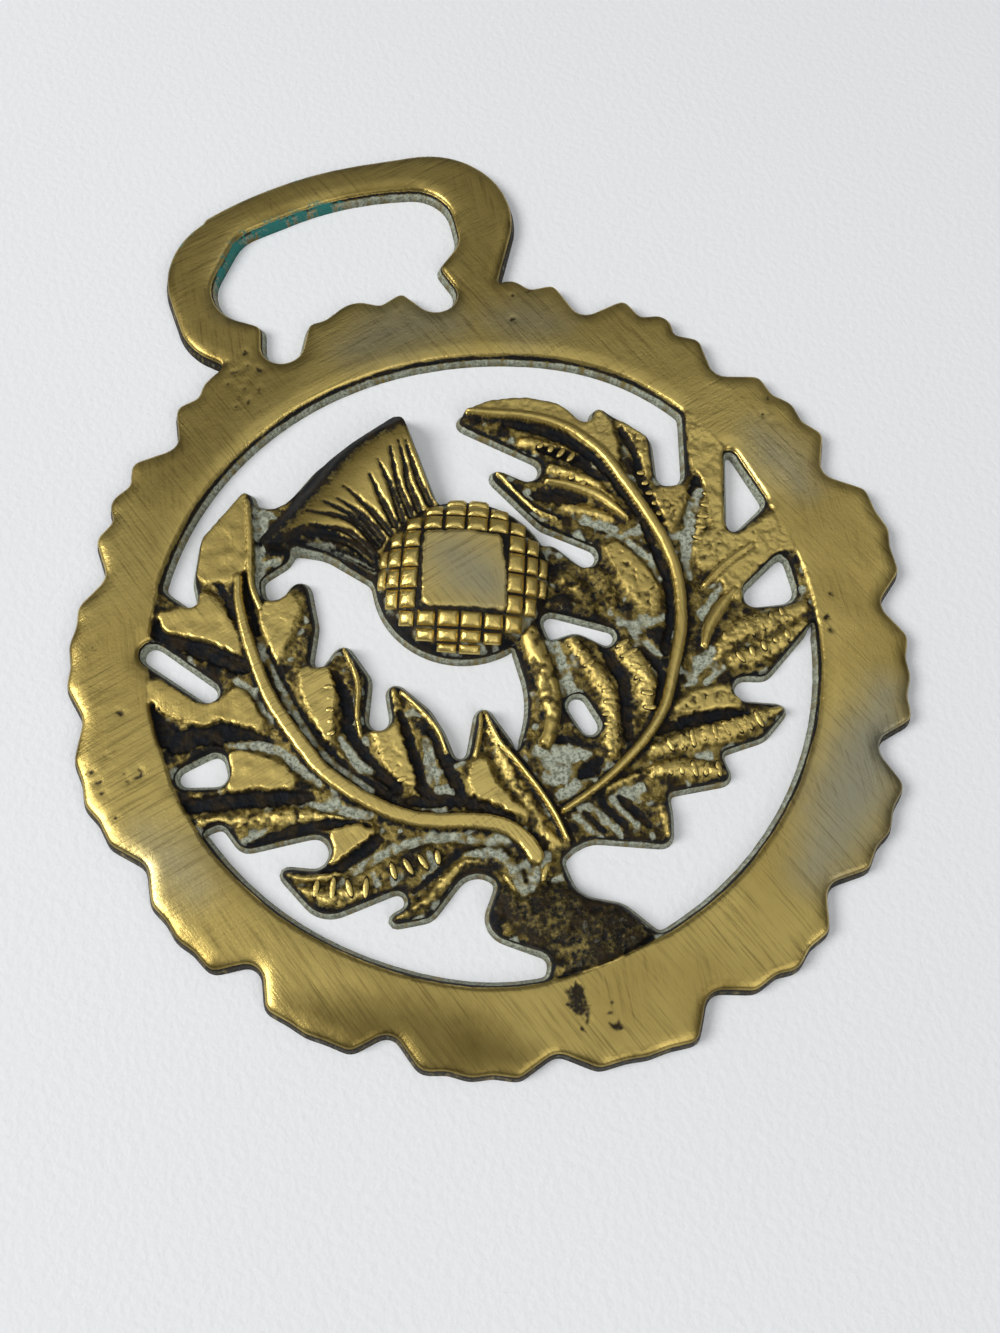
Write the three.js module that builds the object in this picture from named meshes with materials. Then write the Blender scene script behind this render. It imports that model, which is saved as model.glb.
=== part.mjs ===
// Horse brass: one flat casting with a scalloped rim, a strap hanger above it and a pierced thistle
// with two leaves inside. It lies on its flat back, face up.
//
// Millimetres. X runs to the wearer's right of the face as seen, Y towards the hanger, Z out of the face.
// The drawing below has its own origin at the centre of the rim's opening; the last lines move the
// casting so that the frame's origin is under the middle of its bounding box.
import * as THREE from "three";

// ---- Driving dimensions ----
const faceHeight = 1.7; // thickness of the rim and the hanger
const webHeight = 1; // thickness of the leaf's ground between its ribs
const draft = 0.35; // how far the back stands out beyond the face's edge
const holeDraft = 0.55; // the same in the small piercings, which taper more
const castFillet = 0.7; // softness of the corner where two shapes run together
const edgeRound = 0.4; // rounding of every upper edge
const arcStep = 0.3; // longest step along an arc

const openingRadius = 32.8; // inner edge of the rim
// The opening is a little out of round: it swells by so much about each of these angles.
const swells = [
  { amount: 1.1, angle: 45, spread: 22 },
  { amount: 0.5, angle: -107, spread: 15 },
];

const rim = { centre: [0.9, -0.5], notchRound: 1.75, bumpRound: 0.95, nickRound: 0.5, middleRound: 1.7 };
// One row for each petal of the rim, anticlockwise: the angle of the notch before it, the radius of the
// notch's floor, the crest radius of its first, middle and last bump, and the depth of its two nicks.
const petals = [
  [9, 39.2, 41.9, 41.9, 41.9, 0.65],
  [32.5, 39.3, 41.9, 42.8, 43.0, 1.1],
  [56, 40.0, 43.1, 43.3, 43.2, 0.9],
  [79, 39.0, 42.5, 42.8, 42.1, 0.8],
  [104.5, 39.0, 44.5, 42.6, 42.4, 0.8],
  [127, 39.6, 42.0, 41.8, 41.4, 0.9],
  [150.5, 39.3, 41.1, 41.4, 41.4, 0.3],
  [172, 40.1, 41.4, 41.5, 40.8, 0.3],
  [195, 39.0, 40.4, 40.6, 40.5, 0.25],
  [215.5, 37.9, 40.4, 40.6, 40.5, 0.12],
  [235.5, 38.3, 40.6, 40.7, 40.7, 0.3],
  [257, 39.0, 40.8, 41.0, 41.4, 0.2],
  [279, 38.5, 40.4, 41.2, 41.0, 0.4],
  [301, 38.7, 40.8, 41.1, 41.0, 0.4],
  [323.5, 37.9, 40.6, 40.5, 40.6, 0.4],
  [345.5, 38.6, 41.4, 42.1, 42.0, 0.3],
];

// An outline is a closed belt around rounds, anticlockwise. Each round is [x, y, r]: a positive r is a
// bulge of the shape, such as a leaf's tip, and a negative r is a gap that bites into it.
const hanger = [
  [11.7, 50.5, 9.4], [1.5, 18.4, 42.6], [-9.2, 49.5, 9.4], [-11.6, 45.4, 7], [-12.5, 38, 1], [13.5, 38, 1.05],
];
const strapSlot = [
  [11.2, 48.1, 3.1], [9.6, 50.6, 5], [1.5, 25, 31.8], [-6.8, 51, 4.9], [-9.6, 48, 4.7],
  [-11.1, 42.5, -0.6], [-8.9, 39.6, 2.35],
  [-5, 40.7, -0.55], [-3.7, 42, 0.8], [-0.2, 39.4, -3], [2.9, 41.9, 0.8], [5.2, 41.2, -0.6], [9, 40.5, 2.4],
  [11.35, 43.6, -0.6],
];
const leftLeaf = [
  [-17.8, 23, 0.5], [-22.3, 19.2, 1], [-24.1, 15.4, 0.9], [-26.1, 13.7, -1], [-31, 17, 1.2], [-34, 0, 1],
  [-34, -8.5, 0.6], [-29.9, -9.9, -1.1], [-27.4, -10.9, 1], [-22.3, -14.4, -1.9], [-25.2, -15.35, 0.25],
  [-21.6, -17.6, 2.7],
  [-16.6, -21.3, -1.2], [-17.3, -22.8, 0.25], [-14.5, -22.3, 1.2], [-9.7, -23.7, -2.6],
  [-6, -24, 0.8], [-1.5, -21, 1.5], [-2.3, -12.6, 1], [-3.1, -7.3, 0.45], [-6.4, -9.9, -1.1],
  [-8.5, -7.6, 0.95], [-9.1, -5.4, 1.1], [-10.25, -2.15, 0.5], [-12.6, -4.2, -1.5], [-13.4, 0.1, 1],
  [-13.75, 3.4, 0.5], [-16.2, 3.4, -1], [-16.6, 7.4, 1.1], [-15.75, 11.25, 0.75], [-18, 12.15, -1.5],
];
const rightLeaf = [
  [6.6, 24.3, 0.6], [10.7, 16.6, -1.6], [7.45, 16.95, 0.5], [10.6, 10.6, 1],
  [12.6, 5.2, -1.5], [9.2, 6.7, 0.8], [5.5, 4, 1], [3.5, -8, 1], [-1, -14, 0.8],
  [-3, -21.5, 1], [1.6, -24.9, -3], [8.5, -24.15, 0.55], [9, -22, 0.9], [11, -21.2, -0.9],
  [16.1, -20.6, 0.55], [17.4, -19.1, -0.8], [21, -16.6, 1.8], [24.1, -16.55, 0.35], [21.9, -13.5, -1.55],
  [24.2, -11.6, 1.1], [32.5, -7.2, 1], [34, 0, 1], [33.5, 8, 1], [29.6, 16.2, 1.2], [24.5, 11.2, -1.8],
  [22.7, 15.6, 1.2], [20.2, 20.2, 0.6], [18.6, 20.4, -0.95], [15.6, 21.7, 1.3], [13.2, 22.6, 2],
  [9.2, 22.9, 2.7],
];
const bowl = { centre: [0, 7], radius: 8.6, crest: 3.5 };
const tuft = [
  [-0.3, 26.6, 0.5], [-8.2, 20.5, 3.6], [-17.6, 17.9, 0.4], [-15.2, 10.4, -5], [-6.5, 9, 1], [-1, 12, 1],
];
const tipWeb = [
  [-18.5, 21.8, 0.6], [-19, 14.6, 0.6], [-16.5, 15.5, 0.8], [-12.8, 20, 0.9], [-15.2, 23.1, -2.2],
];
const stem = [
  [3.6, 1.5, 1], [-8.8, -4, -11], [-0.9, -13, 0.8], [1, -18, 1], [4.2, -12, 1], [4.2, -2, 0.9],
  [5, 2, 1],
];
const base = [
  [-6.4, -23.4, 0.8], [-7.4, -26.2, 1.9], [-6.6, -31, -1.3], [-6, -34.2, 0.8], [4.6, -34.2, 0.8],
  [1, -30.2, 1.9], [1.6, -24.9, -3], [-2.5, -21, 1],
];
const piercings = [
  [[-31, 9.4, 1.45], [-27.1, 3.9, 1.35]],
  [[-31.2, -3.6, 1.3], [-28.6, -4.2, 1.55], [-28.4, -3.3, 1.4]],
  [[31.2, 10.8, 0.8], [28.4, 3.5, 1.15], [31.6, 4.9, 1.1]],
  [[31, -2.2, 1], [27.1, -4.6, 1.6], [29.7, -4.9, 1.9]],
  [[6.6, -0.4, 1.25], [6.2, -1.7, 0.8], [8, -3.6, -1.1], [11.2, -3.7, 1.25]],
  [[5.8, -9.4, 1.4], [6.2, -11.7, 1.35]],
];

// Ribs stand up from the leaves' ground: each is a path of [x, y] points, its half width and its height.
const ribs = [
  { half: 1, height: 2.15, path: [[-18.2, 22.5], [-21.2, 13], [-22.1, 8], [-21.9, 3], [-20.9, -2],
    [-19.3, -6.5], [-16.7, -11], [-13.5, -14.3], [-9.5, -15.8], [-6, -17.2], [-4, -19.2], [-3.4, -21.3]] },
  { half: 0.95, height: 2.15, path: [[7.5, 24.4], [13.5, 21], [16.3, 18.3], [18.3, 15], [19.4, 11],
    [20.4, 3], [20.6, 0], [19.9, -3.5], [18, -7.5], [15.5, -10.8], [12.3, -13.9], [8.5, -16], [0.8, -18.9]] },
];
// Blades of the lobes: root [x, y], tip [x, y], half width, height.
const blades = [
  [-22, 14, -19.5, 21.5, 2.4, 1.9], [-23, 8, -28.5, 13.5, 2.2, 1.8], [-23, 1, -31.5, 6, 1.4, 1.7],
  [-22, -6.5, -27, -4.5, 1.6, 1.7], [-20, -11.5, -27, -9.8, 1.4, 1.5], [-17, -14, -24.6, -15.8, 1.3, 1.7],
  [-15, -18, -22.5, -18.4, 1.3, 1.5], [-9, -20.2, -16.5, -22.4, 1.1, 1.6], [-20.5, 6.5, -16, 11, 1.8, 1.8],
  [-18.5, -1, -14, 3, 1.8, 1.8], [-13.5, -10, -10.5, -2.5, 1.7, 1.8], [-3, -17, -3, -7.5, 1.6, 1.8],
  [17.5, 14, 11.5, 19.8, 1.6, 1.9], [18.5, 9, 12.5, 15, 1.9, 2], [16, 8, 8, 16, 1.4, 1.8],
  [17.5, -2, 16, 5, 1.8, 2], [15, 0, 9.5, 6, 2, 1.6], [16, -8, 13, -4, 1.9, 1.8],
  [10, -12, 8, -3.5, 1.7, 1.8], [20.7, 11, 20.8, 19.5, 1.9, 1.9], [21.3, 5, 26.5, 12.5, 1.5, 1.7],
  [21, -1, 28, 2, 1.5, 1.7], [18.5, -8, 30, -8.3, 1.9, 1.5], [14, -13, 23.5, -16.3, 1.6, 1.8],
  [9, -16.5, 16, -20.2, 1.6, 1.7], [4, -19.5, 8.6, -23.6, 1.4, 1.7],
];
const stemRib = { half: 1.5, height: 2.3, path: [[4, 1.5], [3.9, -5], [3.4, -9], [0.5, -13.5]] };
const baseMound = { half: 4.2, height: 2.2, path: [[-6, -25], [-3, -27.5], [-1, -31]] };
const fan = { apex: [-3, 9], start: 91, end: 151, height: 3.1, flutes: 11, fluteDepth: 0.3, bevel: 1.2 };

// ---- Plane geometry ----
const degrees = Math.PI / 180;
const clamp = (t) => Math.min(1, Math.max(0, t));
const clampOne = (s) => Math.min(1, Math.max(-1, s));
const smooth = (low, high, t) => {
  const s = clamp((t - low) / (high - low));
  return s * s * (3 - 2 * s);
};

// The belt around the rounds as a polygon.
function outline(rounds) {
  const count = rounds.length;
  const leaving = rounds.map(([x, y, r], i) => {
    const [nextX, nextY, nextR] = rounds[(i + 1) % count];
    const gap = Math.hypot(nextX - x, nextY - y);
    const along = Math.atan2(nextY - y, nextX - x);
    return along - Math.PI / 2 + Math.asin(clampOne((r - nextR) / gap));
  });
  const points = [];
  rounds.forEach(([x, y, r], i) => {
    const from = leaving[(i + count - 1) % count];
    let turn = (leaving[i] - from) % (2 * Math.PI);
    if (r > 0 && turn < 0) turn += 2 * Math.PI;
    if (r < 0 && turn > 0) turn -= 2 * Math.PI;
    const steps = Math.max(1, Math.ceil(Math.abs(turn * r) / arcStep));
    for (let s = 0; s <= steps; s++) {
      const angle = from + (turn * s) / steps;
      points.push([x + r * Math.cos(angle), y + r * Math.sin(angle)]);
    }
  });
  return points;
}

// Signed distance to a polygon, negative inside.
function polygonDistance(points) {
  const box = new THREE.Box2().setFromPoints(points.map(([x, y]) => new THREE.Vector2(x, y)));
  return (x, y) => {
    const beyond = Math.max(box.min.x - x, x - box.max.x, box.min.y - y, y - box.max.y);
    if (beyond > 2 * castFillet) return beyond; // far enough for a short answer
    let nearest = Infinity;
    let inside = false;
    for (let i = 0, j = points.length - 1; i < points.length; j = i++) {
      const [ax, ay] = points[j];
      const [bx, by] = points[i];
      const ex = bx - ax;
      const ey = by - ay;
      const t = clamp(((x - ax) * ex + (y - ay) * ey) / (ex * ex + ey * ey || 1));
      const dx = x - ax - t * ex;
      const dy = y - ay - t * ey;
      nearest = Math.min(nearest, dx * dx + dy * dy);
      if (ay > y !== by > y && x < ((bx - ax) * (y - ay)) / (by - ay) + ax) inside = !inside;
    }
    return (inside ? -1 : 1) * Math.sqrt(nearest);
  };
}

function pathDistance(path, x, y) {
  let nearest = Infinity;
  for (let i = 1; i < path.length; i++) {
    const [ax, ay] = path[i - 1];
    const ex = path[i][0] - ax;
    const ey = path[i][1] - ay;
    const t = clamp(((x - ax) * ex + (y - ay) * ey) / (ex * ex + ey * ey));
    nearest = Math.min(nearest, Math.hypot(x - ax - t * ex, y - ay - t * ey));
  }
  return nearest;
}

// Union of two signed distances with a soft inner corner.
function join(a, b) {
  const near = Math.max(castFillet - Math.abs(a - b), 0) / castFillet;
  return Math.min(a, b) - (near * near * castFillet) / 4;
}

// ---- The casting's plan ----
function rimOutline() {
  const rounds = [];
  const at = (angle, radius, r) => {
    const a = angle * degrees;
    rounds.push([rim.centre[0] + radius * Math.cos(a), rim.centre[1] + radius * Math.sin(a), r]);
  };
  petals.forEach(([notch, floor, first, middle, last, nick], i) => {
    const next = i + 1 < petals.length ? petals[i + 1][0] : petals[0][0] + 360;
    const angle = (share) => notch + share * (next - notch);
    const nickAt = (crest) => crest - nick + rim.nickRound;
    at(notch, floor + rim.notchRound, -rim.notchRound);
    at(angle(0.24), first - rim.bumpRound, rim.bumpRound);
    at(angle(0.37), nickAt((first + middle) / 2), -rim.nickRound);
    at(angle(0.5), middle - rim.middleRound, rim.middleRound);
    at(angle(0.63), nickAt((middle + last) / 2), -rim.nickRound);
    at(angle(0.76), last - rim.bumpRound, rim.bumpRound);
  });
  return outline(rounds);
}

function openingEdge(x, y) {
  const angle = Math.atan2(y, x) / degrees;
  const swell = swells.map((s) => s.amount * Math.exp(-(((angle - s.angle) / s.spread) ** 2)));
  return openingRadius + swell[0] + swell[1];
}

const rimDistance = polygonDistance(rimOutline());
const solids = [leftLeaf, rightLeaf, tuft, tipWeb, stem, base];
const solidDistances = solids.map((rounds) => polygonDistance(outline(rounds)));
const tuftDistance = solidDistances[2];
const hangerDistance = polygonDistance(outline(hanger));
const slotDistance = polygonDistance(outline(strapSlot));
const piercingDistances = piercings.map((r) => polygonDistance(outline(r)));
const bowlDistance = (x, y) => Math.hypot(x - bowl.centre[0], y - bowl.centre[1]) - bowl.radius;

// Signed distance to the casting's upper outline, negative in the metal.
function plan(x, y) {
  const ring = Math.max(join(rimDistance(x, y), hangerDistance(x, y)), openingEdge(x, y) - Math.hypot(x, y));
  const shapes = solidDistances.map((distance) => distance(x, y));
  const metal = [bowlDistance(x, y), ...shapes].reduce(join, ring);
  const cuts = piercingDistances.map((distance) => -distance(x, y));
  return Math.max(metal, -slotDistance(x, y), ...cuts);
}

// ---- The casting's relief ----
const ribRise = (distance, half) => Math.sqrt(Math.max(0, 1 - (distance / half) ** 2));

function bladeHeight(x, y) {
  let top = webHeight;
  for (const [x0, y0, x1, y1, half, height] of blades) {
    const rise = ribRise(pathDistance([[x0, y0], [x1, y1]], x, y), half);
    top = Math.max(top, webHeight + (height - webHeight) * rise);
  }
  return top;
}

function ribHeight(rib, x, y) {
  return webHeight + (rib.height - webHeight) * ribRise(pathDistance(rib.path, x, y), rib.half);
}

function bowlHeight(x, y) {
  return webHeight + (bowl.crest - webHeight) * ribRise(bowlDistance(x, y) + bowl.radius, bowl.radius);
}

function fanHeight(x, y, insideBy) {
  const angle = Math.atan2(y - fan.apex[1], x - fan.apex[0]) / degrees;
  const turn = (angle - fan.start) / (fan.end - fan.start);
  const flute = fan.fluteDepth * Math.cos(2 * Math.PI * fan.flutes * turn);
  const reach = Math.hypot(x - fan.apex[0], y - fan.apex[1]);
  const carved = flute * (1 - smooth(10, 14, reach));
  return webHeight + (fan.height + carved - webHeight) * smooth(0, fan.bevel, insideBy);
}

function height(x, y) {
  const insideBy = -plan(x, y);
  const radius = Math.hypot(x, y);
  const onRim = smooth(openingEdge(x, y) - 0.3, openingEdge(x, y) + 0.4, radius);
  let top = webHeight + (faceHeight - webHeight) * onRim;
  if (onRim < 1) {
    top = Math.max(top, bladeHeight(x, y), bowlHeight(x, y));
    for (const rib of [...ribs, stemRib, baseMound]) top = Math.max(top, ribHeight(rib, x, y));
    const inTuft = -tuftDistance(x, y);
    if (inTuft > 0) top = Math.max(top, fanHeight(x, y, inTuft));
  }
  const short = clamp(1 - insideBy / edgeRound);
  return top - edgeRound * (1 - Math.sqrt(1 - short * short));
}

// ---- Tracing the plan's outline ----
const traceStep = 0.4;
const flatness = 0.03; // how far a traced edge may leave the true curve
const field = { left: -43, right: 46, bottom: -44, top: 64 };

function gradient(x, y) {
  const e = 0.02;
  const gx = plan(x + e, y) - plan(x - e, y);
  const gy = plan(x, y + e) - plan(x, y - e);
  const size = Math.hypot(gx, gy) || 1;
  return [gx / size, gy / size];
}

// Closed loops where the plan's distance is zero, with the metal on the left.
function traceLoops() {
  const columns = Math.ceil((field.right - field.left) / traceStep);
  const rows = Math.ceil((field.top - field.bottom) / traceStep);
  const placeX = (i) => field.left + i * traceStep;
  const placeY = (j) => field.bottom + j * traceStep;
  const values = [];
  for (let j = 0; j <= rows; j++) for (let i = 0; i <= columns; i++) values.push(plan(placeX(i), placeY(j)));
  const value = (i, j) => values[j * (columns + 1) + i];
  const crossings = new Map();
  const crossing = (i0, j0, i1, j1) => {
    const key = [i0 + i1, j0 + j1].join();
    if (!crossings.has(key)) {
      const t = value(i0, j0) / (value(i0, j0) - value(i1, j1));
      let x = placeX(i0 + t * (i1 - i0));
      let y = placeY(j0 + t * (j1 - j0));
      for (let pass = 0; pass < 3; pass++) {
        const [gx, gy] = gradient(x, y);
        const off = plan(x, y);
        x -= off * gx;
        y -= off * gy;
      }
      crossings.set(key, [x, y]);
    }
    return key;
  };
  const next = new Map();
  for (let j = 0; j < rows; j++) {
    for (let i = 0; i < columns; i++) {
      // Each square is two triangles, so no case is ambiguous.
      for (const corners of [[[i, j], [i + 1, j], [i + 1, j + 1]], [[i, j], [i + 1, j + 1], [i, j + 1]]]) {
        const metal = corners.map(([a, b]) => value(a, b) < 0);
        const out = [0, 1, 2].find((k) => metal[k] && !metal[(k + 1) % 3]);
        if (out === undefined) continue;
        const back = [0, 1, 2].find((k) => !metal[k] && metal[(k + 1) % 3]);
        const from = crossing(...corners[out], ...corners[(out + 1) % 3]);
        const to = crossing(...corners[back], ...corners[(back + 1) % 3]);
        next.set(from, to);
      }
    }
  }
  const loops = [];
  while (next.size) {
    const loop = [];
    let key = next.keys().next().value;
    while (next.has(key)) {
      loop.push(crossings.get(key));
      const following = next.get(key);
      next.delete(key);
      key = following;
    }
    loops.push(loop);
  }
  return loops;
}

// Drops the points of a loop that its straight steps don't need.
function thin(loop) {
  const half = Math.floor(loop.length / 2);
  const reduce = (points) => {
    const [first, last] = [points[0], points[points.length - 1]];
    let worst = 0;
    let index = 0;
    points.forEach(([x, y], i) => {
      const off = pathDistance([first, last], x, y);
      if (off > worst) [worst, index] = [off, i];
    });
    if (worst < flatness) return [first];
    return [...reduce(points.slice(0, index + 1)), ...reduce(points.slice(index))];
  };
  return [...reduce(loop.slice(0, half + 1)), ...reduce([...loop.slice(half), loop[0]])];
}

const area = (loop) => THREE.ShapeUtils.area(loop.map(([x, y]) => ({ x, y })));

// ---- Meshing: a Delaunay triangulation that keeps the outline's edges ----
const mostPoints = 100000;
class Triangulation {
  constructor(points, triangles) {
    this.points = points;
    this.edges = new Map(); // key of a directed edge -> the third corner of the triangle on its left
    for (const [a, b, c] of triangles) this.add(a, b, c);
  }
  key(from, to) {
    return from * mostPoints + to;
  }
  ends(key) {
    return [Math.floor(key / mostPoints), key % mostPoints];
  }
  add(a, b, c) {
    this.edges.set(this.key(a, b), c);
    this.edges.set(this.key(b, c), a);
    this.edges.set(this.key(c, a), b);
  }
  remove(a, b, c) {
    this.edges.delete(this.key(a, b));
    this.edges.delete(this.key(b, c));
    this.edges.delete(this.key(c, a));
  }
  side(a, b, c) {
    const [p, q, r] = [this.points[a], this.points[b], this.points[c]];
    return (q[0] - p[0]) * (r[1] - p[1]) - (q[1] - p[1]) * (r[0] - p[0]);
  }
  inCircle(a, b, c, d) {
    const [dx, dy] = this.points[d];
    const row = (i) => {
      const x = this.points[i][0] - dx;
      const y = this.points[i][1] - dy;
      return [x, y, x * x + y * y];
    };
    const [p, q, r] = [row(a), row(b), row(c)];
    return (
      p[0] * (q[1] * r[2] - q[2] * r[1]) -
      p[1] * (q[0] * r[2] - q[2] * r[0]) +
      p[2] * (q[0] * r[1] - q[1] * r[0])
    );
  }
  // Turns the edge a-b if its two triangles are better the other way. An outline's edge has only one.
  legalize(a, b) {
    const c = this.edges.get(this.key(a, b));
    const d = this.edges.get(this.key(b, a));
    if (c === undefined || d === undefined || this.inCircle(a, b, c, d) <= 1e-9) return;
    if (this.side(c, a, d) <= 1e-9 || this.side(d, b, c) <= 1e-9) return;
    this.remove(a, b, c);
    this.remove(b, a, d);
    this.add(c, a, d);
    this.add(d, b, c);
    for (const [from, to] of [[a, d], [d, b], [b, c], [c, a]]) this.legalize(from, to);
  }
  improve() {
    for (const key of [...this.edges.keys()]) this.legalize(...this.ends(key));
  }
  triangles() {
    const found = [];
    for (const [key, c] of this.edges) {
      const [a, b] = this.ends(key);
      if (a < b && a < c) found.push([a, b, c]);
    }
    return found;
  }
  insert(point) {
    const index = this.points.push(point) - 1;
    for (const [a, b, c] of this.triangles()) {
      if (this.side(a, b, index) < 0 || this.side(b, c, index) < 0 || this.side(c, a, index) < 0) continue;
      this.remove(a, b, c);
      this.add(a, b, index);
      this.add(b, c, index);
      this.add(c, a, index);
      for (const [from, to] of [[a, b], [b, c], [c, a]]) this.legalize(from, to);
      return;
    }
  }
}

// Points inside the outline where the relief is measured: along the ribs and blades, then a lattice.
function reliefPoints(loops) {
  const kept = loops.flat();
  const found = [];
  const offer = (x, y, spacing, fromEdge) => {
    if (plan(x, y) > -fromEdge) return;
    if (kept.some(([px, py]) => Math.abs(px - x) < spacing && Math.hypot(px - x, py - y) < spacing)) return;
    kept.push([x, y]);
    found.push([x, y]);
  };
  // A row just inside the edge of the rim and the hanger, where their rounding ends.
  for (const loop of loops) {
    loop.forEach(([x, y], i) => {
      const [nextX, nextY] = loop[(i + 1) % loop.length];
      const steps = Math.ceil(Math.hypot(nextX - x, nextY - y) / 1.5);
      for (let s = 0; s < steps; s++) {
        const edgeX = x + (s / steps) * (nextX - x);
        const edgeY = y + (s / steps) * (nextY - y);
        if (Math.hypot(edgeX, edgeY) < openingEdge(edgeX, edgeY) - 0.2) continue;
        const [gx, gy] = gradient(edgeX, edgeY);
        offer(edgeX - 1.2 * edgeRound * gx, edgeY - 1.2 * edgeRound * gy, 0.75, 0.4);
      }
    });
  }
  const crests = [...ribs, stemRib].map((rib) => ({ ...rib, sides: [0, 0.8, -0.8] }));
  for (const [x0, y0, x1, y1, half] of blades) crests.push({ path: [[x0, y0], [x1, y1]], half, sides: [0] });
  for (const { path, half, sides } of crests) {
    const curve = new THREE.CatmullRomCurve3(path.map(([x, y]) => new THREE.Vector3(x, y, 0)));
    const steps = Math.ceil(curve.getLength() / 1.3);
    for (let s = 0; s <= steps; s++) {
      const place = curve.getPointAt(s / steps);
      const along = curve.getTangentAt(s / steps);
      for (const side of sides) {
        offer(place.x - side * half * along.y, place.y + side * half * along.x, 0.6, 0.5);
      }
    }
  }
  const lattice = (step, wanted) => {
    for (let y = field.bottom; y < field.top; y += step) {
      for (let x = field.left; x < field.right; x += step) if (wanted(x, y)) offer(x, y, step * 0.72, 0.55);
    }
  };
  lattice(0.85, (x, y) => -bowlDistance(x, y) > 0 || -tuftDistance(x, y) > 0);
  lattice(1.25, (x, y) => Math.hypot(x, y) < openingRadius + 1);
  lattice(2.4, () => true);
  return found;
}

// ---- The casting ----
function castingGeometry() {
  const loops = traceLoops().map(thin).filter((loop) => Math.abs(area(loop)) > 0.5);
  loops.sort((p, q) => Math.abs(area(q)) - Math.abs(area(p)));
  const toVectors = (loop) => loop.map(([x, y]) => new THREE.Vector2(x, y));
  const faces = THREE.ShapeUtils.triangulateShape(toVectors(loops[0]), loops.slice(1).map(toVectors));
  const edge = loops.flat();
  const wound = faces.map(([a, b, c]) => {
    const [p, q, r] = [edge[a], edge[b], edge[c]];
    return (q[0] - p[0]) * (r[1] - p[1]) - (q[1] - p[1]) * (r[0] - p[0]) > 0 ? [a, b, c] : [a, c, b];
  });
  const back = new Triangulation([...edge], wound);
  back.improve();
  const face = new Triangulation([...edge], wound);
  face.improve();
  reliefPoints(loops).forEach((point) => face.insert(point));

  const positions = [];
  face.points.forEach(([x, y]) => positions.push(x, y, height(x, y)));
  const backStart = face.points.length;
  edge.forEach(([x, y]) => {
    const [gx, gy] = gradient(x, y);
    const taper = piercingDistances.some((distance) => Math.abs(distance(x, y)) < 0.05) ? holeDraft : draft;
    positions.push(x + taper * gx, y + taper * gy, 0);
  });
  const indices = face.triangles().flat();
  back.triangles().forEach(([a, b, c]) => indices.push(backStart + a, backStart + c, backStart + b));
  let start = 0;
  for (const loop of loops) {
    loop.forEach((_, i) => {
      const a = start + i;
      const b = start + ((i + 1) % loop.length);
      indices.push(backStart + a, backStart + b, b, backStart + a, b, a);
    });
    start += loop.length;
  }
  const geometry = new THREE.BufferGeometry();
  geometry.setAttribute("position", new THREE.Float32BufferAttribute(positions, 3));
  geometry.setIndex(indices);
  geometry.computeVertexNormals();
  return geometry;
}

const agedBrass = new THREE.MeshStandardMaterial({ color: 0x9a7b33, roughness: 0.38, metalness: 1 });
const brass = new THREE.Mesh(castingGeometry(), agedBrass);
brass.name = "horse_brass";

brass.geometry.computeBoundingBox();
const middle = brass.geometry.boundingBox.getCenter(new THREE.Vector3());
brass.geometry.translate(-middle.x, -middle.y, 0);

const part = new THREE.Group();
part.add(brass);
export default part;
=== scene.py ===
"""Looks for the horse brass: an aged brass casting with a pierced, carved thistle, lying on a pale floor."""

import math

import bpy
import numpy as np
from mathutils import Matrix, Vector
from mathutils.geometry import delaunay_2d_cdt


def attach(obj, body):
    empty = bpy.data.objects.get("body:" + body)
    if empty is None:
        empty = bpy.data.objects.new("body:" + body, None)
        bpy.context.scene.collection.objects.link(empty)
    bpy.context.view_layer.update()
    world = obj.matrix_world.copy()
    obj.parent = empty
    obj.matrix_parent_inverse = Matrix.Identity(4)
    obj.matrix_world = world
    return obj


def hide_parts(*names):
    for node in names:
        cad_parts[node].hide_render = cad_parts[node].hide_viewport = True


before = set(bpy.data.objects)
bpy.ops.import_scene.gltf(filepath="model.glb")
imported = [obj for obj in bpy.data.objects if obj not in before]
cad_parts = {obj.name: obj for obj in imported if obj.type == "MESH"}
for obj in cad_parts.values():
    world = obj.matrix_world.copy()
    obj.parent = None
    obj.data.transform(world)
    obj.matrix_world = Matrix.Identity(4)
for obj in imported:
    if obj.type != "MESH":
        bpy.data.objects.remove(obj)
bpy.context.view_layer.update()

bl_info = {
    "name": "Horse Brass",
    "version": (1, 0, 0),
    "blender": (4, 5, 0),
    "location": "3D View > Sidebar > Brass",
    "description": "Adds a cast horse brass with a pierced thistle",
    "category": "Add Mesh",
}

MM = 0.001
# The relief is drawn in millimetres about the middle of the rim's opening, which lies here in the frame.
DRAWING_ORIGIN = (-1.2198, -9.5946)
OPENING_RADIUS = 32.8
HEAD_CENTRE = (0.0, 6.9)
HEAD_RADIUS = 8.6
STUD_TURN = math.radians(-23.5)
# What the metal carries: wear, dark dirt together with painted shade, pale dry verdigris, mould skin, brown
# film, grey film (on the rim both films also paint reflections) and fresh verdigris.
FIELDS = ("worn", "grime", "bloom", "rough", "tan", "dull", "teal")

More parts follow.
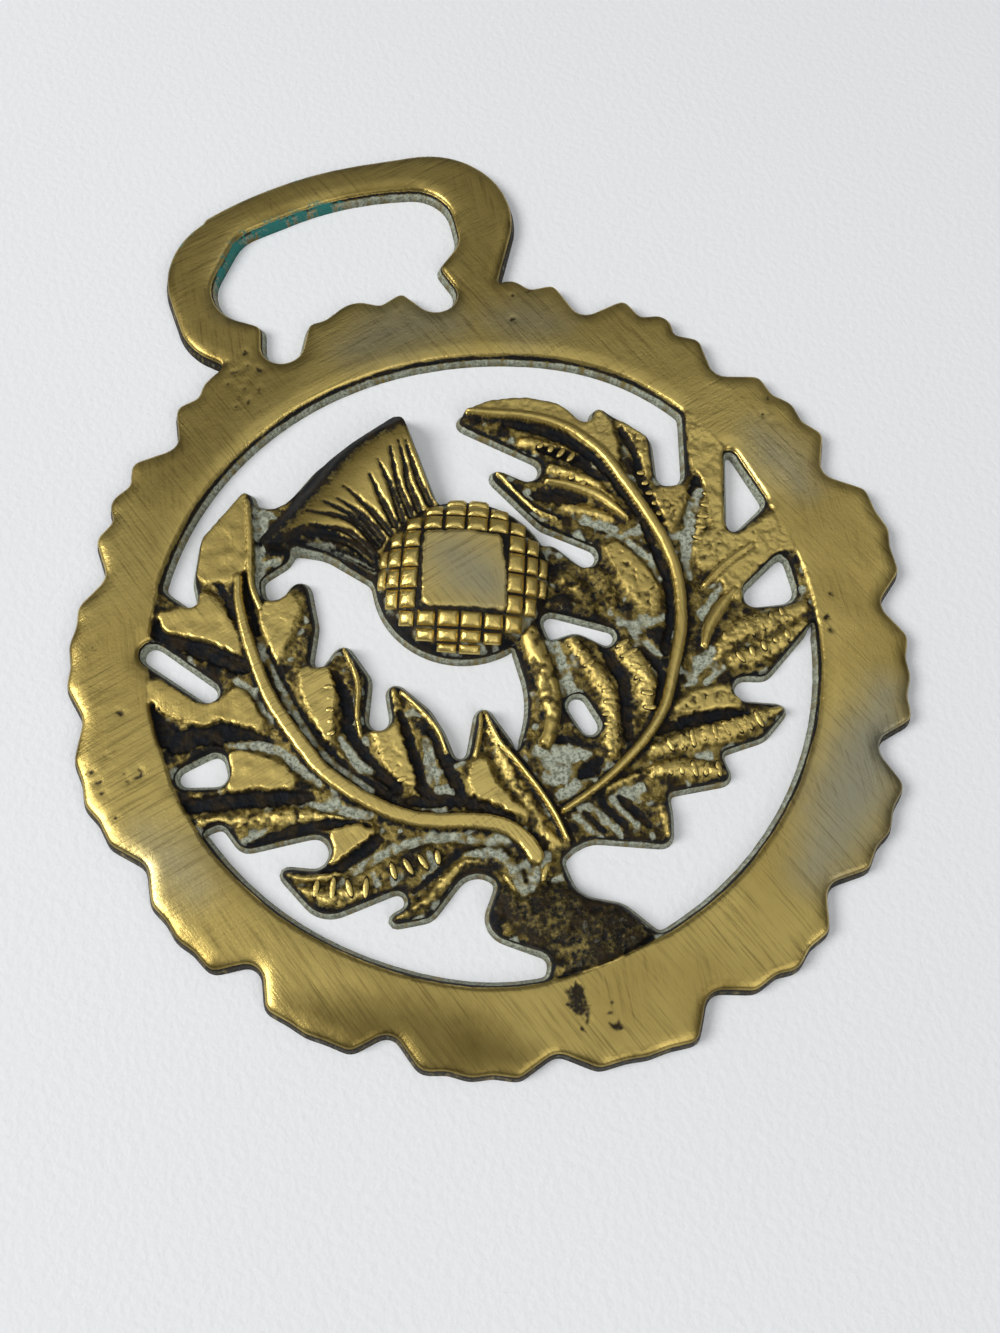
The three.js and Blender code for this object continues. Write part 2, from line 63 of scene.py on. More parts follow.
# Flats that the last grinding polished together with the rim: (height, pitted, outline).
FACETS = [
    (1.72, 0, [(-23.2, 19.6), (-17.7, 23.3), (-18.2, 21.2), (-19, 18.3), (-19.6, 15.6), (-21.2, 14.2),
        (-22.8, 14.4), (-24.3, 15.1), (-24.7, 16.2), (-23.9, 18.3)]),
    (1.72, 0, [(-29.4, 13), (-27.4, 12.8), (-24.9, 13.8), (-24, 13), (-23.4, 11.5), (-22.9, 8.9),
        (-23, 6.9), (-23.8, 6.9), (-24.6, 7.8), (-26.3, 9.2), (-28.1, 10.4), (-29.4, 11.3)]),
    (1.7, 0, [(-32.9, 6.8), (-31, 6.2), (-28.4, 2.8), (-26.3, 2.2), (-24.4, 3), (-23.6, 2.4),
        (-23.1, -0.2), (-23.3, -1.6), (-24.2, -0.8), (-26.3, 0.5), (-28.6, 0.6), (-30.2, 2.1),
        (-32.3, 4.5)]),
    (1.68, 0, [(-26.9, -3.2), (-26, -2.9), (-23.5, -4.9), (-21.8, -6.9), (-22.2, -7.9), (-25.5, -7.1),
        (-27.8, -6.2), (-27.1, -5.2)]),
    (1.68, 0, [(-19.9, -13.2), (-17.5, -13.4), (-16.6, -14.6), (-18.1, -15.3), (-19.9, -15.9),
        (-21.4, -16.2), (-20.6, -15), (-20.3, -14)]),
    (1.75, 0.3, [(-19.6, 10.6), (-16.8, 11), (-16.3, 9.4), (-18.4, 6.4), (-20, 4.6), (-20.1, 8.8)]),
    (1.75, 0, [(-18.1, 2.8), (-15.8, 2.2), (-15.5, 0.6), (-16.4, -1.8), (-17.2, -3.8), (-17.8, -4.9),
        (-18.4, -1.5), (-18.5, 0.9)]),
    (1.7, 0.5, [(-13.5, -5.2), (-11.5, -5.3), (-11.3, -8.5), (-11.5, -11.8), (-12.6, -10.5),
        (-13.4, -8.8)]),
    (1.75, 0, [(-6.5, -12.9), (-5.3, -11.4), (-4.6, -11.8), (-4.7, -13.8), (-3.7, -16.4), (-2.7, -18),
        (-4.6, -16.6), (-6.6, -14.7)]),
    (1.75, 0.3, [(7.2, 25.1), (10, 25.2), (13.3, 24.3), (15.8, 22.9), (17, 21.6), (18.8, 19.9),
        (20.2, 20.4), (20.6, 19), (20.3, 16.2), (19.4, 13.4), (18.6, 15.8), (17.4, 18.2), (15.4, 20.6),
        (12.5, 22.7), (9.2, 24.2)]),
    (1.6, 0.8, [(21.9, 18.4), (23.6, 15.6), (22.9, 13.5), (22.3, 11.5), (22.1, 13.5), (22.2, 16)]),
    (1.7, 0.8, [(21.8, 9.4), (23.3, 9.3), (25, 8.9), (24.4, 7.4), (23, 6), (21.9, 5), (21.6, 7)]),
    (1.7, 0.8, [(24.6, 3), (26.5, 3.3), (27.6, 1.6), (31, 2.6), (33, 2.5), (33, -0.4), (30, 0), (27, 0.2),
        (24, -0.4), (23, 0.4)]),
    (1.68, 0.35, [(28.9, 17.3), (31.2, 12.2), (29.6, 7.9), (27.2, 3.2), (26, 3.2), (26.9, 6.6),
        (27.1, 9.4), (27, 11.6)]),
    (1.68, 0.5, [(24.4, 0.2), (26.8, 2.1), (29.4, 1.3), (32.3, 3), (33.8, -0.3), (33.3, -1.9), (31.8, -1),
        (29.1, -2.1), (26.4, -4.2), (24.8, -4.4), (24.2, -3)]),
    (1.65, 0.8, [(14.8, 5.3), (16, 5.2), (17.4, 2.2), (17.8, -0.6), (17, -2.9), (15.6, -2), (15, 1)]),
    (1.65, 0.8, [(14.3, -13.1), (17.1, -12.2), (19, -12.6), (20.4, -13), (20.6, -14.7), (18.6, -14.6),
        (16, -13.8)]),
]
# Lobes left as cast, mottled and rubbed bright on their highest grains: (height, wear, path, widths).
LUMPS = [
    (1.5, 0.6, [(-31, -8.3), (-26.4, -9.7), (-22.2, -10.9), (-18.7, -12.6)], (0.6, 1.0, 0.4)),
    (1.45, 0.6, [(-17.6, 7.6), (-15.9, 10.2)], (0.9, 0.9, 0.7)),
    (1.5, 0.6, [(-10.4, -1.9), (-10.8, -4), (-11.3, -6)], (0.4, 0.7, 0.8)),
    (1.45, 0.6, [(-3.2, -8), (-3, -12), (-2.1, -17), (-1.4, -21.5)], (0.4, 0.8, 0.9)),
    (1.6, 0.6, [(-17.4, -22.9), (-15.2, -22.5), (-13.4, -21.9), (-11.6, -20.9), (-9.6, -20.2),
        (-7.9, -20.6)], (0.25, 0.6, 0.4)),
    (1.6, 0.6, [(-25.3, -15.6), (-23.5, -16.7), (-21.4, -17.1), (-19.5, -16.8)], (0.3, 0.5, 0.3)),
    (1.5, 0.6, [(-24, -17.6), (-22, -19), (-19, -19.6)], (0.5, 1.0, 0.6)),
    (1.6, 0.85, [(11.2, 19.6), (14.1, 17.6), (15.6, 15.6)], (0.7, 1.0, 0.5)),
    (1.5, 0.85, [(13, 15.6), (16.1, 12.9), (17.6, 9.9)], (0.7, 0.7, 0.5)),
    (1.4, 0.85, [(12.6, 11), (14.8, 9.6), (16.5, 8.2)], (0.7, 0.8, 0.6)),
    (1.2, 0.2, [(11.8, 5.2), (12.9, 1.8), (12.4, -1.2)], (1.2, 1.8, 1.2)),
    (1.2, 0.2, [(9.5, 3.2), (11, 1.2)], (1.2, 1.2, 1.0)),
    (1.7, 0.85, [(7.6, -3.4), (8.9, -8.8), (8.3, -11.8), (7.1, -15)], (0.8, 1.0, 0.8)),
    (1.7, 0.85, [(12.1, -5.6), (12.9, -8.8), (12.1, -11.9)], (1.0, 1.3, 0.8)),
    (1.6, 0.85, [(11, -16.3), (16, -16.5), (20, -16.8), (24, -16.6)], (0.8, 1.3, 0.3)),
    (1.6, 0.85, [(10, -18.2), (13, -18.8), (16.3, -20.6)], (0.8, 1.1, 0.4)),
    (1.4, 0.6, [(5.4, -18.2), (9, -17.9)], (0.4, 0.5, 0.5)),
    (1.6, 0.85, [(28.3, 9), (26.6, 6.5), (24.6, 4.2), (23.2, 1.6)], (0.6, 1.0, 0.6)),
    (1.5, 0.85, [(31, -7.5), (27, -8), (23.5, -7.8), (20.3, -9.6)], (0.8, 1.3, 0.6)),
    (1.35, 0.85, [(22, -10.5), (26, -10.4), (30, -9.4)], (0.9, 1.0, 0.8)),
    (1.75, 0.6, [(9.3, -21.3), (8.9, -24.2)], (0.5, 0.6, 0.4)),
    (2.1, 0.0, [(-6.8, -25), (-4.3, -27.5), (-1.2, -30), (-0.6, -32)], (1.8, 3.4, 4.2)),
]
# Dark recesses filled with dirt: (height, path, widths).
PITS = [
    (0.8, [(-30.8, 13), (-29.2, 10.8), (-26.5, 8.3), (-23.3, 5.2)], (0.5, 1.0, 0.8)),
    (0.75, [(-33, 4), (-31.5, 0.3), (-27.5, -0.4), (-23.3, -3)], (0.8, 1.1, 0.7)),
    (0.75, [(-32.5, -6.3), (-28, -7.3), (-24, -8.4), (-21, -9.4)], (0.6, 0.8, 0.4)),
    (0.9, [(-27.5, -11.9), (-23, -12), (-19, -12.8), (-16.8, -14)], (0.3, 0.5, 0.3)),
    (0.8, [(-22, -16.5), (-19, -16.3), (-16.5, -15.4)], (0.2, 0.8, 0.5)),
    (0.9, [(-20.3, 15.2), (-20.7, 11), (-20.9, 8)], (0.15, 0.25, 0.3)),
    (0.8, [(-20.6, 6), (-19.9, 1), (-18.9, -3.5), (-17, -8), (-14.2, -11.8)], (0.3, 0.4, 0.4)),
    (0.8, [(-15.2, 1.5), (-14.9, -1.5), (-15.6, -4.5), (-14.8, -8), (-13.2, -11.5)], (0.4, 0.6, 0.5)),
    (0.8, [(-10.5, -4.5), (-10.6, -8), (-10.9, -13.5)], (0.3, 0.5, 0.7)),
    (0.8, [(-8.5, -7.3), (-8, -11), (-7.7, -14)], (0.3, 0.6, 0.5)),
    (0.8, [(-12.5, -12.9), (-10, -13.8), (-7.5, -14.9), (-5.4, -16.4), (-4.2, -17.9)], (0.4, 0.6, 0.35)),
    (1.0, [(-14.8, -21), (-12.5, -20.2), (-9.8, -19.2), (-7.5, -19.4)], (0.2, 0.3, 0.2)),
    (1.1, [(-24.2, 17.5), (-23.3, 15.3), (-22.6, 12.5), (-22.7, 10.5)], (0.15, 0.35, 0.3)),
    (1.0, [(-1.5, -12.2), (-0.5, -16), (0.15, -18.8), (0.3, -21.9)], (0.15, 0.2, 0.2)),
    (0.9, [(10.3, 22.4), (13.2, 20.6), (16.2, 18), (18, 14.8), (18.9, 11.3), (19.4, 7.8)],
        (0.3, 0.7, 0.35)),
    (0.9, [(12.5, 18.3), (15.5, 16), (17.3, 13)], (0.3, 0.6, 0.4)),
    (0.9, [(10.5, 13.3), (12.5, 12.3), (14.8, 11.3)], (0.7, 0.8, 0.4)),
    (1.0, [(8.3, 15.5), (9, 13), (10.3, 11.2), (11.6, 10.2)], (0.2, 0.45, 0.3)),
    (1.3, [(10.4, 24.9), (12, 24), (14, 22.7), (15.8, 21.2)], (0.1, 0.3, 0.2)),
    (0.8, [(19.4, 6.5), (19.3, 2), (18.9, -1.5), (17.7, -4.3), (15.7, -7.3)], (0.3, 0.4, 0.35)),
    (0.8, [(10.5, -5), (10.8, -8.8), (9.9, -11.8), (9.2, -14.2)], (0.5, 0.55, 0.4)),
    (0.9, [(14.2, -6.8), (14.6, -9.5), (13, -12)], (0.4, 0.4, 0.3)),
    (0.8, [(12, -14.7), (15, -14.7), (18.4, -15.2), (20.8, -15.8)], (0.3, 0.6, 0.3)),
    (1.0, [(21.6, 17.5), (21.8, 14), (21.25, 11.5), (21.3, 6.2)], (0.3, 0.45, 0.3)),
    (0.8, [(27.2, 9.8), (25.8, 8)], (0.6, 0.6, 0.5)),
    (0.9, [(2, -11.6), (3.2, -12.4)], (0.4, 0.6, 0.3)),
    (0.9, [(3.4, -16.1), (5.6, -15.3)], (0.4, 0.8, 0.4)),
    (1.0, [(-5.2, -32.7), (-0.8, -33.3), (3.7, -32.4)], (0.25, 0.35, 0.25)),
    (1.1, [(2.4, -19.6), (3.4, -21.8)], (0.2, 0.3, 0.3)),
    (1.1, [(4.2, -19.4), (5.5, -22)], (0.2, 0.35, 0.3)),
    (1.0, [(6, -19.3), (7.6, -22.8)], (0.25, 0.45, 0.3)),
]
# Shallow channels lined with pale, dry verdigris: (height, path, widths).
FLOORS = [
    (0.95, [(-26.6, -2.1), (-24.3, -2.9), (-22.2, -4.4), (-21.1, -6.5), (-19.9, -8.5)], (0.4, 0.55, 0.4)),
    (1.0, [(-21, -10.2), (-18.5, -11.7), (-16.4, -13.1)], (0.3, 0.6, 0.4)),
    (1.0, [(-19.3, -17.4), (-15.8, -16.8), (-11.4, -17), (-8.1, -18.5), (-5.8, -19.3)], (0.5, 0.5, 0.3)),
    (1.5, [(-9.3, -19.5), (-6.8, -20.3), (-5.7, -22.3), (-5.8, -24.7)], (0.3, 0.5, 0.5)),
    (1.4, [(-2.2, -22.2), (-3.8, -23.3), (-4.8, -24.5)], (0.4, 0.5, 0.4)),
    (1.0, [(-20.9, 7.4), (-20.5, 3), (-19.7, -2), (-18.4, -6.3), (-15.5, -10.8)], (0.2, 0.35, 0.35)),
    (1.0, [(-24.2, 4), (-23.1, 2.4), (-22.6, -0.2)], (0.4, 0.35, 0.25)),
    (1.0, [(-16.6, -4.9), (-16, -7.3), (-15, -9)], (0.3, 0.5, 0.4)),
    (1.0, [(-9.1, -8), (-9.7, -11.8)], (0.5, 0.6, 0.6)),
    (1.0, [(-17, 21), (-17.6, 18.6), (-18.8, 15.8), (-18.9, 13)], (0.9, 0.9, 0.5)),
    (1.1, [(0.6, -12.6), (2.5, -13.6), (4.5, -14.4)], (0.8, 1.0, 0.6)),
    (1.1, [(0.7, -15.3), (2.4, -15.6)], (0.9, 1.1, 0.7)),
    (1.1, [(1, -17.3), (3, -16.9)], (0.6, 0.6, 0.4)),
    (0.9, [(6.1, -0.8), (6, -4), (5.7, -8)], (0.5, 0.6, 0.6)),
    (1.0, [(13.9, 9), (16.3, 6.4), (17.5, 4.5), (18.2, 2.8), (18.6, 0.2)], (0.6, 0.4, 0.3)),
    (1.0, [(12.4, -1.6), (14.6, -4.5)], (0.3, 0.35, 0.3)),
    (1.0, [(14.5, -5.7), (15.3, -7.4)], (0.4, 0.4, 0.3)),
    (1.0, [(26.4, 8), (24.6, 6.1), (23.4, 3.8), (22, 1.6), (21.5, -0.8)], (0.6, 0.6, 0.3)),
    (1.0, [(28.8, 0.9), (26.5, -1.2), (23.4, -3.1), (21, -4.8)], (0.2, 0.35, 0.55)),
    (1.0, [(17.1, -10.6), (20.2, -8.7)], (0.5, 0.6, 0.5)),
    (1.0, [(18.3, -11.7), (20.5, -10.7)], (0.4, 0.4, 0.4)),
    (1.2, [(1.4, -19.4), (2.4, -21.7)], (0.25, 0.4, 0.3)),
    (1.2, [(3.3, -19.4), (4.5, -22)], (0.2, 0.3, 0.3)),
    (1.2, [(5.1, -19.3), (6.5, -22.3)], (0.2, 0.3, 0.3)),
    (1.2, [(-3.5, -33.6), (0.5, -33.7), (3.2, -32.9)], (0.15, 0.25, 0.15)),
]
# Midribs and raised edges, worn bright: (height, path, widths, flatness). Flatness 1 is a flat-topped band,
# and below 0 the rib is mottled.
RIBS = [
    (2.1, [(-21, 14.2), (-21.6, 12.1), (-21.9, 9), (-21.95, 5.5), (-21.7, 1.5), (-21.1, -1.4),
        (-20.4, -3.8), (-19.3, -7.1), (-17.5, -10), (-15.2, -12.65), (-12.8, -14.7), (-10.5, -15.8),
        (-7.5, -16.9), (-5, -18.4), (-3.7, -20.4), (-3.4, -21.9)], (0.4, 0.7, 0.78), 1),
    (1.95, [(-17.7, 22.3), (-18.6, 18.3), (-19.4, 15.4), (-20, 13), (-19.9, 10.5)], (0.15, 0.35, 0.3), 1),
    (2.1, [(0.6, -18.8), (3.9, -17.9), (6.8, -16.8), (9.8, -15.3), (12.1, -13.8), (13.9, -12.1),
        (15.6, -9.7), (17.4, -7.1), (18.6, -5), (19.8, -1.8), (20.35, 0.5), (20.55, 3.3), (20.4, 5.6),
        (19.9, 8.9), (19.3, 12.1), (18.7, 14.8), (17.8, 16.9), (16.4, 19.2), (14.7, 20.9), (12.9, 22.1),
        (11.2, 23), (9.1, 23.9), (7.1, 24.9)], (0.3, 0.62, 0.4), 0.6),
    (1.8, [(-13.5, 3.6), (-13.3, 0.9), (-13.5, -0.8), (-14.4, -3.2), (-14.8, -5.4)], (0.2, 0.28, 0.2), 0),
    (1.8, [(-9.7, -2.5), (-8.4, -5.4), (-7.7, -7.4), (-7.7, -9.7)], (0.2, 0.28, 0.2), 0),
    (1.95, [(-2.9, -7.2), (-2.7, -10.3), (-1.9, -12.6), (-0.9, -15.9), (-0.3, -18.8), (-0.1, -21.4)],
        (0.2, 0.32, 0.28), 0),
    (1.75, [(-3.3, -7.2), (-4.1, -9), (-5.3, -11)], (0.2, 0.25, 0.2), 0),
    (1.85, [(11.9, 14.3), (14, 13), (16.4, 10.8), (18, 7.6)], (0.3, 0.6, 0.3), 0.2),
    (1.75, [(7.4, 16.9), (7.8, 16.1), (8.5, 13.9), (9.7, 11.4), (11.2, 9.9)], (0.2, 0.25, 0.2), 0),
    (1.75, [(28.8, 0.4), (25.5, -0.6), (22.4, -2.1)], (0.4, 0.5, 0.3), 0.2),
    (1.75, [(25, -3.6), (23, -4.8), (21, -6.4), (19.8, -8)], (0.4, 0.7, 0.4), 0.2),
    (1.7, [(-6.6, -22.6), (-6.4, -24.2)], (0.2, 0.22, 0.2), 0),
    (1.7, [(-2.7, -23), (-3.5, -24)], (0.2, 0.22, 0.2), 0),
    (2.0, [(3.95, 1), (3.9, -4), (3.5, -8), (2.7, -10.6), (1.4, -12)], (1.0, 1.15, 0.7), -0.3),
]
# Rows of short rungs across a lobe: (height, start, end, rung length).
HATCHES = [
    (1.5, (-23, -17.8), (-18.8, -19.3), 1.6),
    (1.48, (-16, -18.7), (-11.8, -18.9), 1.5),
    (1.72, (-16.1, 0.2), (-17.3, -4.3), 0.8),
    (1.6, (-13.3, -6.2), (-12.4, -10.8), 1.2),
    (1.58, (7.7, -3.6), (8.9, -8.4), 1.2),
    (1.6, (8.9, -9.2), (7.6, -13.6), 1.2),
    (1.6, (12.2, -5.2), (12.9, -8.6), 1.7),
    (1.6, (12.8, -9.4), (12.1, -12.2), 1.4),
    (1.34, (21.5, 12), (21.4, 7), 0.7),
    (1.56, (11.5, -18.5), (15.8, -20.1), 1.3),
    (1.54, (12.5, -16.3), (21.5, -16.9), 1.4),
    (1.42, (22.2, -8), (28.5, -7.7), 1.5),
    (1.4, (22.6, -10.4), (28, -9.8), 1.0),
    (1.4, (13.8, 15), (17, 10.8), 1.0),
    (1.54, (12, 19.3), (15.3, 16.1), 1.2),
    (1.48, (27.8, 8.3), (24, 3), 1.1),
]
# The worn flat on the thistle's head, the tuft, and the flutes from its neck outwards.
HEAD_FLAT = [(-2.1, 12.1), (1.5, 10.9), (4.7, 9.2), (3.9, 5.6), (2.5, 1.5), (-1, 3.1), (-4.9, 4.7),
    (-3.6, 8.4)]
TUFT = [(0.4, 26.5), (-0.5, 27.2), (-4, 26.3), (-8, 24.6), (-11, 22.7), (-13, 21.1), (-15, 19.6),
    (-18, 17.8), (-17.4, 16.2), (-14.5, 15), (-12, 13.8), (-10, 12), (-8, 9.8), (-4, 12), (0.4, 14.8),
    (0.4, 20)]
TUFT_TOP = [(-18, 18), (-13, 21.1), (-8, 24.6), (-4, 26.3), (0.4, 27.2)]
TUFT_CREST = [(-17.2, 17), (-13.1, 17.4), (-10.6, 16), (-7.8, 13.4), (-6.2, 11.1)]
TUFT_FOOT = [(-8, 8), (-20, 8), (-20, 16)]
FLUTES = [
    [(-0.4, 15.8), (-0.7, 18.9), (-0.5, 23)],
    [(-1.7, 15.5), (-1.8, 18.5), (-1.4, 20.8), (-1.2, 23.2)],
    [(-2.7, 15.2), (-2.8, 18.8), (-2.2, 22.9)],
    [(-3.7, 14.9), (-3.6, 18.7), (-3.9, 21.9)],
    [(-4.6, 14.6), (-5, 17.9), (-5.2, 20.5)],
    [(-5.3, 13.9), (-6.4, 16.8), (-8.1, 20)],
    [(-6.2, 13.5), (-7.4, 16.6), (-9.2, 18.9)],
    [(-6.6, 13.2), (-8, 16.3), (-10.6, 19)],
    [(-7, 12.9), (-8.6, 16.2), (-12.4, 18.4)],
    [(-7.6, 12.4), (-9.4, 15.2), (-12.6, 16.9)],
    [(-7.9, 11.6), (-9.8, 14.2), (-13.4, 16.1)],
    [(-8, 10.9), (-10.6, 13.3), (-14, 15.4)],
]
# Films left on the polished metal, brown ("tan") or grey ("dull"), which on the rim also paint the ring's
# darker and greyer reflections: (field, amount, path, widths).
FILMS_AND_REFLECTIONS = [
    ('tan', 0.85, [(-27.5, -27), (-21, -32), (-14, -36), (-10, -38.5)], (1.2, 3.9, 1.6)),
    ('tan', 0.35, [(40, 9), (37, 18), (31, 26)], (2, 4, 2)),
    ('tan', 0.5, [(-6, 37), (-17, 33), (-27, 26)], (2, 4, 2)),
    ('tan', 0.5, [(-8.5, -44), (0, -42.5), (9, -41.5)], (0.6, 1.2, 0.6)),
    ('tan', 0.4, [(-41, 4), (-39, 10), (-38, 16)], (0.6, 1.5, 0.6)),
    ('dull', 0.7, [(-2, 36.5), (4, 37.5), (9, 36)], (1.5, 3, 1.5)),
    ('dull', 0.6, [(14, 35), (20, 32)], (1, 2.5, 1)),
    ('dull', 0.75, [(35, 12), (36.5, 5)], (1, 2.2, 1)),
    ('dull', 0.8, [(20, -32), (27, -26), (34, -19)], (1.5, 3.5, 1.5)),
    ('dull', 0.6, [(-36, -8), (-33, -14)], (1, 2, 1)),
    ('dull', 0.8, [(-0.6, 8.8), (1.4, 4.6)], (2.4, 3.0, 2.2)),
    ('dull', 0.5, [(-12.5, 46), (-10, 52.5)], (0.6, 1.2, 0.6)),
]
# Dark stains on the polished metal, (grime, path, widths), and pits in it, (x, y, radius, how many).
STAINS = [
    (0.45, [(-37.4, 12.2), (-36.2, 11.8)], (0.7, 0.8, 0.7)),
    (0.72, [(-4.9, -34.5), (-4.3, -36.3)], (0.7, 1.05, 0.5)),
]
SPECKS = [(-14, 38, 2.2, 14), (-14.5, 34.5, 1.5, 6), (-4.5, -35.5, 2.0, 12), (-2.5, -37.5, 1.4, 8), (-37,
    -2, 4, 10), (-35.5, 4, 3, 6), (-34.5, -22.5, 2, 5), (36.5, 14, 2.5, 5), (34, -9, 3, 5), (18, 37, 2, 5)]

# ---------------------------------------------------------------- plane geometry
def smooth(low, high, value):
    """Rises smoothly from 0 at low to 1 at high."""
    t = np.clip((value - low) / (high - low), 0, 1)
    return t * t * (3 - 2 * t)


def curve_through(points, step=0.5):
    """A smooth open curve through the points."""
    p = np.array(points, float)
    if len(p) < 3:
        return p
    p = np.vstack([2 * p[0] - p[1], p, 2 * p[-1] - p[-2]])
    out = []
    for a, b, c, d in zip(p, p[1:], p[2:], p[3:]):
        count = max(2, int(np.hypot(*(c - b)) / step))
        t = np.linspace(0, 1, count, endpoint=False)[:, None]
        square, cube = (2 * a - 5 * b + 4 * c - d) * t**2, (3 * b - a - 3 * c + d) * t**3
        out.append(0.5 * (2 * b + (c - a) * t + square + cube))
    out.append(p[-2:-1])
    return np.vstack(out)


def even_loop(points, step):
    """A closed loop with evenly spaced points, its corners softened."""
    p = np.array(points, float)
    q = np.vstack([p, p[:1]])
    length = np.concatenate([[0], np.cumsum(np.hypot(*np.diff(q, axis=0).T))])
    count = max(12, int(round(length[-1] / step)))
    at = np.linspace(0, length[-1], count, endpoint=False)
    even = np.stack([np.interp(at, length, axis) for axis in q.T], 1)
    for _ in range(2):
        even = even / 2 + (np.roll(even, 1, 0) + np.roll(even, -1, 0)) / 4
    return even


def rounded(points):
    """The points in the single precision that the triangulation works with."""
    return points.astype(np.float32).astype(float)


def outward(loop):
    """Unit normals of a loop that has the metal on its left."""
    along = np.roll(loop, -1, 0) - np.roll(loop, 1, 0)
    along /= np.maximum(np.hypot(*along.T), 1e-9)[:, None]
    return np.stack([along[:, 1], -along[:, 0]], 1)


def loop_area(loop):
    """The loop's area, below 0 round an opening."""
    x, y = loop.T
    return 0.5 * np.sum(x * np.roll(y, -1) - np.roll(x, -1) * y)


def swelling(along, widths):
    """Half widths along a path that swells from its first width to its middle one and falls to its last."""
    first, middle, last = widths
    swell = np.sin(along * math.pi)
    return np.where(along < 0.5, first + (middle - first) * swell, last + (middle - last) * swell)


def frame_outlines(node):
    """The upper outlines of the casting, as loops in drawing millimetres with the metal on their left."""
    mesh = node.data
    co = np.array([v.co for v in mesh.vertices], float) / MM
    keys = {}
    index = [keys.setdefault(tuple(np.round(c, 3)), len(keys)) for c in co]
    place = {i: c for c, i in zip(co, index)}
    following = {}
    for face in mesh.polygons:
        corner = [index[v] for v in face.vertices]
        low = [place[c][2] < 1e-3 for c in corner]
        if sum(low) != 1:
            continue
        k = low.index(True)
        following[corner[(k + 1) % 3]] = corner[(k + 2) % 3]
    loops = []
    while following:
        start = next(iter(following))
        loop = []
        while start in following:
            loop.append(place[start][:2])
            start = following.pop(start)
        loops.append(np.array(loop[::-1]) - DRAWING_ORIGIN)
    return loops


